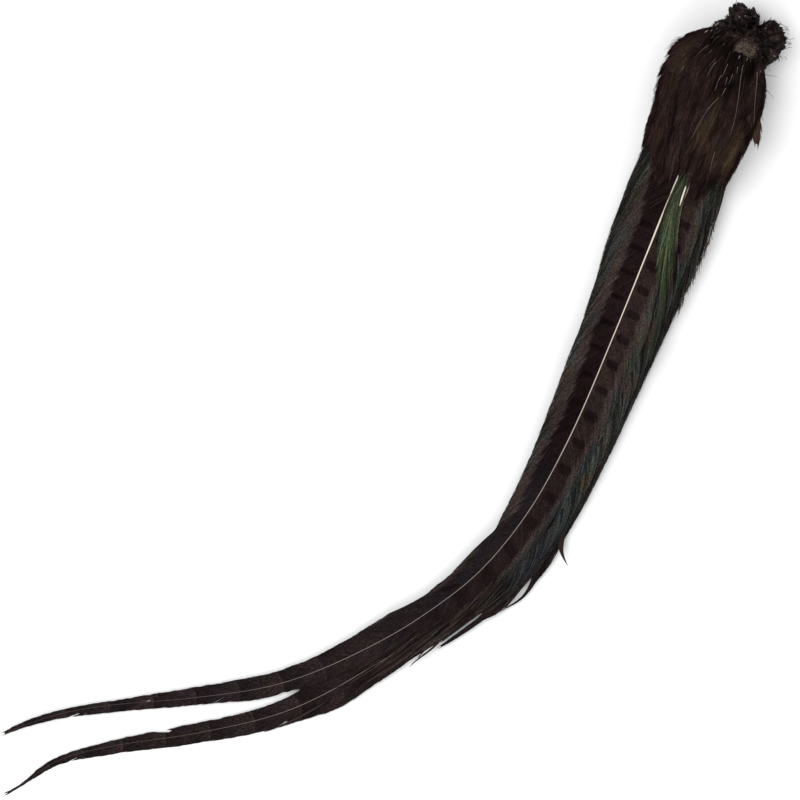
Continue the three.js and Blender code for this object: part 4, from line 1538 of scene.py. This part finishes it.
STUBS = {"count": 420, "length": (0.5, 1.9), "width": (0.25, 0.7)}


class TAIL_OT_stump(bpy.types.Operator):
    """Make the dried stump of skin and bone"""

    bl_idname = "tail.stump"
    bl_label = "Stump"

    def execute(self, context):
        """A ball of rays from the stump's heart, each as long as the furthest lobe that it meets.

        A ray meets an ellipsoid where |centre to point| in the ellipsoid's own units is 1. The lengths
        are joined by a soft maximum. The lumps are ridged noise, 1 - 2 |noise|, and the crumbs are
        smaller noise added to it along each ray.
        """
        rows, columns = STUMP_GRID
        tilt = np.linspace(0, np.pi, rows + 2)[1:-1, None]
        turn = -np.arange(columns)[None, :] / columns * 2 * np.pi
        ray = np.stack([np.sin(tilt) * np.cos(turn), np.sin(tilt) * np.sin(turn),
                        -np.cos(tilt) * np.ones_like(turn)], -1)
        heart = np.array(HEART)
        lengths = []
        for lobe in LOBES:
            centre, half = np.array(lobe[:3]), np.array(lobe[3:])
            a = ((ray / half) ** 2).sum(-1)
            b = (ray * (heart - centre) / half**2).sum(-1)
            c = (((heart - centre) / half) ** 2).sum() - 1
            root = b * b - a * c
            hit = (-b + np.sqrt(np.maximum(root, 0))) / a
            lengths.append(np.where((root > 0) & (hit > 0), hit, 0.1))
        lengths = np.array(lengths)
        length = (lengths**LOBE_BLEND).sum(0) ** (1 / LOBE_BLEND)
        surface = heart + ray * length[..., None]
        rough = sizes().stump_rough / MM
        lumps = (1 - 2 * np.abs(noise(surface / 3.6, 1))) * 0.9 + noise(surface / 2.0, 2) * 0.8
        crumbs = noise(surface / 1.1, 3) * 0.7 + noise(surface / 0.6, 4) * 0.5
        crumbs = crumbs - 1.2 * np.abs(noise(surface / 1.5, 6))
        neck = smooth((surface[..., 0] + 9) / 7) * 0.75  # its skin is smoother than the knobs
        depth = (lumps + crumbs - 0.5) * (1 - neck)
        surface = surface + ray * (rough * depth)[..., None]
        surface[..., 0] = np.minimum(surface[..., 0], FRONT_OF_STUMP)
        points = place(surface[..., 0], surface[..., 1], np.maximum(surface[..., 2], 0.02))
        u = np.broadcast_to(np.linspace(0, 1, columns + 1)[None, :], (rows, columns + 1))
        w = np.broadcast_to(np.linspace(0.02, 0.98, rows)[:, None], (rows, columns + 1))
        # Painted shade: each point's depth, kept as a tone that darkens the skin in the hollows and lightens
        # it on the lumps.
        painted_hollow_shade = np.clip(0.5 + 0.45 * depth, 0, 1)
        skin = Skin()
        skin.add(points[None], np.stack([u, w], -1)[None],
                 {"tone": np.stack([painted_hollow_shade, neck, 0 * neck], -1)[None]}, wrap=True)
        rng = np.random.default_rng(41)
        loose = np.argwhere((surface[..., 0] < -5) & (surface[..., 2] > 6))
        picked = tuple(loose[rng.integers(len(loose), size=STUBS["count"])].T)
        base, way = surface[picked], ray[picked] + rng.normal(0, 0.35, (STUBS["count"], 3))
        way /= np.linalg.norm(way, axis=1)[:, None]
        for number, (start, to) in enumerate(zip(base, way)):
            length, width = rng.uniform(*STUBS["length"]), rng.uniform(*STUBS["width"])
            t = np.array([-0.4, 0.4, 1.0])
            line = start + to * length * t[:, None] + rng.normal(0, 0.12, (3, 3))
            band = (0.981 + number / STUBS["count"] * 0.017, 0.981 + (number + 0.9) / STUBS["count"] * 0.017)
            lay_tube(skin, place(*line.T), width * np.array([1, 0.8, 0.3]), band, 0, 5)
        skin.build("stump_skin", [skin_material("Dried skin", colours())], ["tail_stump"])
        return {"FINISHED"}


# What lies high is seen further out than it is: its line is moved by this much, in s and v.
SEEN_HIGH = (2.0, -0.9)
# The next are bare quills and hairs, as the (s, v) that each passes through from its root to its tip.
HAIR_WIDTH = {"quill": 0.36, "loose": 0.24, "short": 0.19}
QUILL_PALE = 0.36
PALE_QUILLS = [
    [(1.9, -10.7), (4.5, -12.4), (7.4, -13.6)], [(3.2, -8.6), (5.8, -9.6)],
    [(8.1, -4.9), (11.7, -5.7), (16, -5.9)], [(13, -0.1), (15.6, -0.4), (17.9, -0.4)],
    [(17.9, -0.1), (20.9, -0.1)], [(-1, -13.6), (-0.4, -15.9), (0.6, -18.4)],
    [(-0.6, -11.4), (1.3, -13.9), (4, -16.6)], [(16, -17.7), (18.3, -18.2)], [(6.5, 5.3), (9.4, 6.1)],
    [(4.6, 7.3), (12.3, 9.2), (23.6, 12.6), (35.1, 14.6)], [(4.5, 14.8), (16, 18.6), (28, 23.2)],
    [(23, 2.9), (31.1, 0.3), (38, -0.6), (45.4, -1)], [(-3.6, -13.2), (-2, -15.2), (-0.2, -17)],
    [(-2.8, -10.4), (1, -13), (4.6, -15.2)], [(12.8, 2.8), (16.4, 3.2)], [(7.1, 0.5), (14, 0.5)],
    [(10.4, 4.5), (15.3, 4.7)], [(17.6, 4.1), (21.9, 3.9)], [(46.4, 11.5), (51.1, 12), (56, 13)],
]
# Painted shadow: the first few of VANE_HAIRS are broad dark strips laid along dark gap lines, such as the one
# at the edge of the long green covert.
SHADOW_STRIPS = 10  # the first few of the next are broad and dark
TUFT = 6  # and the last few stand out past the edge
VANE_HAIRS = [
    [(75, -0.8), (79, -4), (84, -8)], [(76, -0.7), (81, -4), (86, -7)], [(77, -1), (81, -3), (87, -5.6)],
    [(75, -1.2), (78, -5), (82, -8.6)], [(88, 8.3), (97, 10.3), (107, 13.6)],
    [(92, 9.4), (101, 12), (111, 15.6)], [(90, 9.8), (98, 12), (108, 15.4)],
    [(96, 11.5), (104, 14.2), (113, 17.4)], [(285, -1.5), (290, -3), (296, -5)],
    [(100, 12.6), (108, 15), (118, 18.4)], [(284, -7.2), (292, -6.4), (301, -6)],
    [(320, -8.4), (326, -7.5), (333, -7)], [(366, 16), (381, 19), (394, 21.2)],
    [(90, 9), (99, 11.4), (108, 14.8)], [(94, 10.2), (103, 13.2), (112, 16.6)],
    [(74.5, -0.6), (78, -4), (83, -8.3)], [(76, -0.8), (80.5, -4.4), (85, -7)],
    [(75.4, -0.8), (78.6, -3), (82, -6)], [(177, -6), (184, -7.8), (191, -10)],
    [(158, -9), (164, -10.2), (171, -11)], [(188, -7.8), (195, -8.8), (202, -9.6)],
    [(166, -7.4), (173, -9), (180, -10)], [(195, -7), (204, -8.2), (213, -9.2)],
    [(235, -6), (243, -7.2), (252, -8.3)], [(206, -6.4), (215, -7.6), (224, -8.6)],
    [(150, -9.4), (156, -10.4), (162, -11.2)], [(268, -8), (276, -8.6), (284, -8.2)],
    [(287, -5.4), (294, -6), (301, -6.3)], [(221, -6), (229, -7), (238, -8)],
    [(245, -5.6), (252, -6.6), (258, -7.4)], [(304, 13.4), (313, 14.8), (322, 16.5)],
    [(306, 15), (312, 15.9), (319, 16.1)], [(300, 12.6), (309, 13.6), (317, 15)],
    [(290, 11.4), (300, 12.6), (311, 14)], [(283, 10.6), (294, 11.8), (304, 13.2)],
    [(312, 4.4), (326, 5.6), (341, 6.4)], [(296, 9.6), (308, 10.6), (320, 12)],
    [(330, 11), (338, 12.6), (346, 14.8)], [(322, 9.2), (332, 11), (342, 13.4)],
    [(306, 14.8), (313, 16.3), (320, 17.1), (325, 18.4)],
    [(306, 14.4), (313, 16), (320, 16.9), (324, 17.9)], [(305, 14.4), (312, 15.9), (320, 17)],
    [(309, 13), (314, 14.2), (320, 16.8)], [(308, 13), (313.4, 14.2), (319, 16.5)],
    [(304, 14), (310, 15.6), (316, 16.2)],
]
EDGE_HAIRS = 60  # on each side of the coverts
SOFT_BARBS, SOFT_SPAN = 150, (266, 336)  # how many lie on the fringe at the bend, and from where to where
# Where the coverts' hairs end, as (v, s).
COVERT_TIPS = [
    (-20, 60), (-16, 64), (-12, 74), (-5, 73), (-1.5, 66), (1, 65), (3, 66), (5, 70), (8, 76), (13, 75),
    (16, 66), (20, 60),
]
HOOKED_BARB = [(234, 18.2), (240.2, 20.4), (244.2, 24), (247, 29.6)]
FRAYED_EDGE = [(70, 23.4), (80, 24.9), (95, 25.3), (108, 24.5), (120, 23.8)]
FAN_LEFT = [
    (-8, -8), (-3, -14), (3, -22), (10, -26), (20, -27), (32, -25.6), (40, -23.4), (50, -20.5),
    (60, -18), (76, -11),
]
FAN_RIGHT = [
    (-8, 12), (0, 15), (8, 17.6), (18, 21.6), (28, 23.6), (36, 23), (55, 21.4), (64, 20.6), (80, 15),
]
LOOSE_HAIRS = [
    [(4.8, 18), (3.9, 21.2), (3.2, 24.5)], [(10.7, 21.5), (11.7, 24), (13, 26.7)],
    [(-1.8, 17.1), (0.3, 18.5), (2.2, 19.7)], [(-14.2, 20), (-15.2, 22.6), (-16.8, 24.5)],
    [(-18, 16.8), (-18.5, 20.2)], [(-20, 15.4), (-19.8, 18.1), (-18.8, 20.6)],
    [(7.8, -26.9), (10.4, -28.3), (12.7, -29.3)], [(4.2, -24.9), (5.5, -26.8), (9.4, -28.3)],
    [(-4, -15), (-4.2, -17.7)], [(15.3, 22.1), (17, 24.8)], [(23.2, 25.1), (24.9, 26.3)],
]


def strand(points, steps=9):
    """A smooth line through a few points: in each coordinate the polynomial that passes them all."""
    t = np.linspace(0, 1, len(points))
    return np.stack([np.polyval(np.polyfit(t, axis, len(t) - 1), np.linspace(0, 1, steps))
                     for axis in np.array(points, float).T], -1)


def lay_hairs(skin, middle, width, pale, band, tints=None, roots=None):
    """Adds flat hairs that taper to their tips, on lines of points, (hairs, steps, 3).

    pale is a hair's own paleness. tints and roots colour it as barbs are coloured.
    """
    count, steps = middle.shape[:2]
    along = np.gradient(middle, axis=1)
    left = np.cross((0.0, 0.0, 1.0), along)
    left /= np.linalg.norm(left, axis=-1, keepdims=True)
    t = np.linspace(0, 1, steps)
    wide = width[:, None] * (1 - 0.7 * t**2) * np.minimum(1, 0.4 + 3 * t)
    edge = np.array([-0.5, 0.5])
    points = middle[:, :, None] + (left * wide[..., None])[:, :, None] * edge[:, None]
    points[..., 2] = np.maximum(points[..., 2], 0.04)
    whole = np.ones(points.shape[:3])
    strip = (np.arange(count)[:, None, None] + 0.5 + 0.8 * edge) / count * whole
    up = (band[0] + (band[1] - band[0]) * t)[None, :, None] * whole
    tones = np.stack([0.5 * whole, np.reshape(pale, (-1, 1, 1)) * whole, t[None, :, None] * whole], -1)
    values = {"tone": tones}
    if tints is not None:
        values["tint"] = tints[:, :, None] * whole[..., None]
        values["spot"] = np.stack([roots[:, :, None] * whole, 0 * whole, 0 * whole], -1)
    skin.add(points, np.stack([strip, up], -1), values)


class TAIL_OT_covert_hairs(bpy.types.Operator):
    """Make the long soft hairs that blend the coverts into each other"""

    bl_idname = "tail.covert_hairs"
    bl_label = "Covert hairs"

    def execute(self, context):
        """Each hair keeps its share of the fan between FAN_LEFT and FAN_RIGHT, with a little drift."""
        rng = np.random.default_rng(91)
        count, steps = sizes().covert_hairs, 7
        top = top_of_coverts()
        edges = [through(line, 3) for line in (FAN_LEFT, FAN_RIGHT)]
        t = np.linspace(0, 1, steps)[None, :]
        start = rng.uniform(-5, 56, (count, 1))
        s = start + rng.uniform(6, 18, (count, 1)) * t
        share = rng.uniform(0.01, 0.99, (count, 1)) + rng.normal(0, 0.015, (count, 1)) * t
        v = edges[0](s) * (1 - share) + edges[1](s) * share
        v = v + rng.normal(0, 0.25, (count, 1)) * np.sin(np.pi * t)
        z = top(s) - roof_drop(s, v) - drape(s, v) + 0.35 + rng.uniform(0, 0.3, (count, 1))
        z = z - 0.5 * (1 - t) ** 2
        ends, out = s[:, -1], v[:, -1]
        limit = np.interp(out, *np.array(COVERT_TIPS).T)
        inside = ends < limit + rng.normal(0, 1.5, count)
        clear_s, clear_v = KEPT_CLEAR
        bare = (s[:, 0] < clear_s[1] - 3) & (v[:, 0] > clear_v[0]) & (v[:, 0] < clear_v[1])
        kept = inside & ~bare
        change = rng.normal(0, 0.15, count) + 0.3 * (rng.random(count) < 0.07) - 0.05
        values = np.stack([zoned(0)(s, v), np.clip(zoned(1)(s, v) + change[:, None], 0.02, 1), t + 0 * s], -1)
        skin = Skin()
        lay_hairs(skin, place(s, v, z)[kept], rng.uniform(0.2, 0.5, count)[kept], 0, (0.01, 0.99),
                  values[kept], 50 * share[kept, :1])
        skin.build("covert_hairs", covert_materials()[:1])
        return {"FINISHED"}


class TAIL_OT_hairs(bpy.types.Operator):
    """Make the bare quills, the loose hairs and the frayed barbs"""

    bl_idname = "tail.hairs"
    bl_label = "Hairs and quills"

    def execute(self, context):
        rng = np.random.default_rng(8)
        top = top_of_coverts()
        high = np.array(SEEN_HIGH)
        lines = [(strand(np.array(q) + high), HAIR_WIDTH["quill"], QUILL_PALE, None) for q in PALE_QUILLS]
        lines += [(strand(np.array(q) + high / 2), HAIR_WIDTH["loose"], 0, 15) for q in LOOSE_HAIRS]
        for _ in range(sizes().hairs):
            # Short hairs stand out from the right knob and lie over the neck.
            if rng.random() < 0.5:
                turn, away = rng.uniform(-0.4, 2.6), rng.uniform(4.5, 6.5)
                middle = np.array([-14.2, 13.6]) if rng.random() < 0.5 else np.array([-8.2, 17.2])
                way = np.array([-math.sin(turn - 1.2), math.cos(turn - 1.2)])
                start, length = middle + way * away, rng.uniform(1, 3.2)
                level = rng.uniform(8, 17)
            else:
                start, length = np.array([rng.uniform(-6, 12), rng.uniform(-16, 15)]), rng.uniform(2, 6)
                way, level = np.array([1, start[1] * 0.05]), None
            bent = start + way * length + rng.normal(0, 0.6, 2)
            halfway = start + way * length * 0.5 + rng.normal(0, 0.35, 2)
            paleness = 0.3 * rng.random() * (level is None and not 0 < start[1] < 10)
            lines.append((strand([start, halfway, bent]), HAIR_WIDTH["short"], paleness, level))
        for way, s in itertools.product((-1, 1), rng.uniform(-2, 60, EDGE_HAIRS)):
            run, edge = rng.uniform(4, 9), through(OUTLINE[way], 2)
            ways = [(s, edge(s) - 2.4 * way), (s + 0.6 * run, edge(s + 0.6 * run) - 1.4 * way),
                    (s + run, edge(s + run) + way * rng.uniform(-1.2, 0.1))]
            lines.append((strand(ways), HAIR_WIDTH["loose"], 0, None))
        skin = Skin()
        for number, (line, width, pale, level) in enumerate(lines):
            share = np.linspace(0, 1, len(line))
            if level is None:
                z = top(line[:, 0]) - roof_drop(*line.T) - drape(*line.T) + 1.9
            else:
                z = level + 2 * share * (1 - share)
            band = (number + np.array([0.1, 0.9])) / len(lines)
            lay_tube(skin, place(line[:, 0], line[:, 1], z), width * (1 - 0.6 * share), band * 0.6, sides=5,
                     tint=(0, pale))
        self.lay_on_vanes(skin, rng)
        skin.build("stump_hairs", [hair_material("Hair", colours())])
        return {"FINISHED"}

    def lay_on_vanes(self, skin, rng):
        """Adds the pale loose barbs on the long vanes, broad dark strips of painted shadow along gap lines,
        the frayed edge and the one hooked barb.
        """
        blade = blade_of("central_tail_feather_left")
        lines = [strand(q, 8) for q in VANE_HAIRS]
        edge = through(FRAYED_EDGE, 2)
        for s in rng.uniform(FRAYED_EDGE[0][0], FRAYED_EDGE[-1][0], 44):
            run = rng.uniform(4, 9)
            end = edge(s) + rng.uniform(0, 1)
            lines.append(strand([(s, edge(s) - 1.6), (s + run * 0.6, edge(s) - 0.4), (s + run, end)], 8))
        limit = through(OUTLINE[1], 2)
        for _ in range(SOFT_BARBS):
            s, run = rng.uniform(*SOFT_SPAN), rng.uniform(12, 26)
            out = np.interp(s, SOFT_SPAN, [8, 5]) + rng.uniform(0, 8)
            end = min(out + run * rng.uniform(0.1, 0.16), limit(s + run) - 0.4)
            ways = [(s, min(out, limit(s) - 0.6)), (s + run / 2, (out + end) / 2), (s + run, end)]
            lines.append(strand(ways, 8))
        lines = np.array(lines)
        s, v = lines[..., 0], lines[..., 1]
        number = np.arange(len(lines))
        pale = np.where(number < len(VANE_HAIRS), 0.07, rng.uniform(0.0, 0.2, len(lines)))
        pale = np.where(number >= len(lines) - SOFT_BARBS, 0.17 * rng.random(len(lines)) ** 2.5, pale)
        # Painted shadow: the first strips are dark.
        pale[:SHADOW_STRIPS] = 0
        z = blade.surface(s, v) + 0.45
        wide = np.where(number < SHADOW_STRIPS, 0.9, 0.3)
        wide[SHADOW_STRIPS : SHADOW_STRIPS + 3] = 1.1
        wide[len(VANE_HAIRS) - TUFT : len(VANE_HAIRS)] = 0.65
        lay_hairs(skin, place(s, v, z), wide, pale, (0.62, 0.8))
        hook = strand(HOOKED_BARB, 14)
        wide = np.interp(np.linspace(0, 1, 14), [0, 0.4, 0.7, 1], [3.0, 2.9, 1.5, 0.2])
        middle = place(hook[:, 0], hook[:, 1], 5.2)
        lay_tube(skin, middle, wide, (0.82, 0.98), sides=8, high=(0.06, 0.1), tint=(0, 0.05))


# ---------------------------------------------------------------- the stage

VIEW_CENTRE = (0.2270, 0.00565)  # the point of the floor in the middle of the view
VIEW_TURN = math.radians(135)  # the tail lies across the view from its top right corner
VIEW_HEIGHT = 0.006


class TAIL_OT_stage(bpy.types.Operator):
    """Make the floor, the soft lights and the camera"""

    bl_idname = "tail.stage"
    bl_label = "Floor, lights and camera"

    def execute(self, context):
        scene, stage = context.scene, context.scene.tail_stage
        mesh = bpy.data.meshes.new("floor")
        half = 3.0
        mesh.from_pydata([(-half, -half, 0), (half, -half, 0), (half, half, 0), (-half, half, 0)], [],
                         [(0, 1, 2, 3)])
        floor = bpy.data.objects.new("floor", mesh)
        scene.collection.objects.link(floor)
        material, g, shader = blank_material("Pale floor")
        grain = g.noise(g.node("ShaderNodeTexCoord").outputs["Object"], 60.0)
        wire(g, shader, Base_Color=g.mix(grain, (0.90, 0.90, 0.905, 1), (0.93, 0.93, 0.93, 1)), Roughness=0.9,
             Specular_IOR_Level=0.1)
        mesh.materials.append(material)

        world = bpy.data.worlds.new("Studio")
        world.use_nodes = True
        world.node_tree.nodes["Background"].inputs["Color"].default_value = (1, 1, 1, 1)
        world.node_tree.nodes["Background"].inputs["Strength"].default_value = stage.world_light
        scene.world = world
        self.add_light("soft_key", (0.15, -0.45, 1.2), 0.9, stage.key_light)
        self.add_light("soft_fill", (0.75, 0.5, 0.9), 0.7, stage.key_light * 0.5)

        camera = bpy.data.cameras.new("camera")
        camera.lens, camera.sensor_width = stage.lens, 36
        away = stage.view_width * stage.lens / camera.sensor_width
        eye = bpy.data.objects.new("camera", camera)
        eye.location = (*VIEW_CENTRE, VIEW_HEIGHT + away)
        eye.rotation_euler = (0, 0, VIEW_TURN)
        scene.collection.objects.link(eye)
        scene.camera = eye
        scene.view_settings.view_transform = "Standard"
        scene.view_settings.look = "None"
        return {"FINISHED"}

    def add_light(self, name, at, size, power):
        """A square light that faces the middle of the view."""
        light = bpy.data.lights.new(name, "AREA")
        light.size, light.energy = size, power
        lamp = bpy.data.objects.new(name, light)
        lamp.location = (VIEW_CENTRE[0] + at[0], VIEW_CENTRE[1] + at[1], at[2])
        aim = np.array([*VIEW_CENTRE, 0]) - np.array(lamp.location)
        lamp.rotation_euler = (math.atan2(math.hypot(aim[0], aim[1]), -aim[2]), 0,
                               math.atan2(aim[0], -aim[1]) + math.pi)
        bpy.context.scene.collection.objects.link(lamp)


# ---------------------------------------------------------------- the add-on

STEPS = (
    TAIL_OT_stage,
    TAIL_OT_central_feathers,
    TAIL_OT_outer_feathers,
    TAIL_OT_long_covert,
    TAIL_OT_coverts,
    TAIL_OT_rump_feathers,
    TAIL_OT_stump,
    TAIL_OT_covert_hairs,
    TAIL_OT_hairs,
)


class TAIL_PT_panel(bpy.types.Panel):
    """Lists the steps and their settings"""

    bl_idname = "TAIL_PT_panel"
    bl_label = "Pheasant tail"
    bl_space_type = "VIEW_3D"
    bl_region_type = "UI"
    bl_category = "Tail"

    def draw(self, context):
        for step in STEPS:
            self.layout.operator(step.bl_idname)
        for group in (context.scene.tail_sizes, context.scene.tail_colours, context.scene.tail_stage):
            box = self.layout.box()
            for name in group.bl_rna.properties.keys():
                if name not in ("rna_type", "name"):
                    box.prop(group, name)


GROUPS = {"tail_colours": TailColours, "tail_sizes": TailSizes, "tail_stage": StageSettings}
CLASSES = (*GROUPS.values(), *STEPS, TAIL_PT_panel)


def register():
    for each in CLASSES:
        bpy.utils.register_class(each)
    for name, group in GROUPS.items():
        setattr(bpy.types.Scene, name, PointerProperty(type=group))


def unregister():
    for name in GROUPS:
        delattr(bpy.types.Scene, name)
    for each in reversed(CLASSES):
        bpy.utils.unregister_class(each)


def main():
    register()
    for step in STEPS:
        category, name = step.bl_idname.split(".")
        getattr(getattr(bpy.ops, category), name)()


if __name__ == "__main__":
    main()
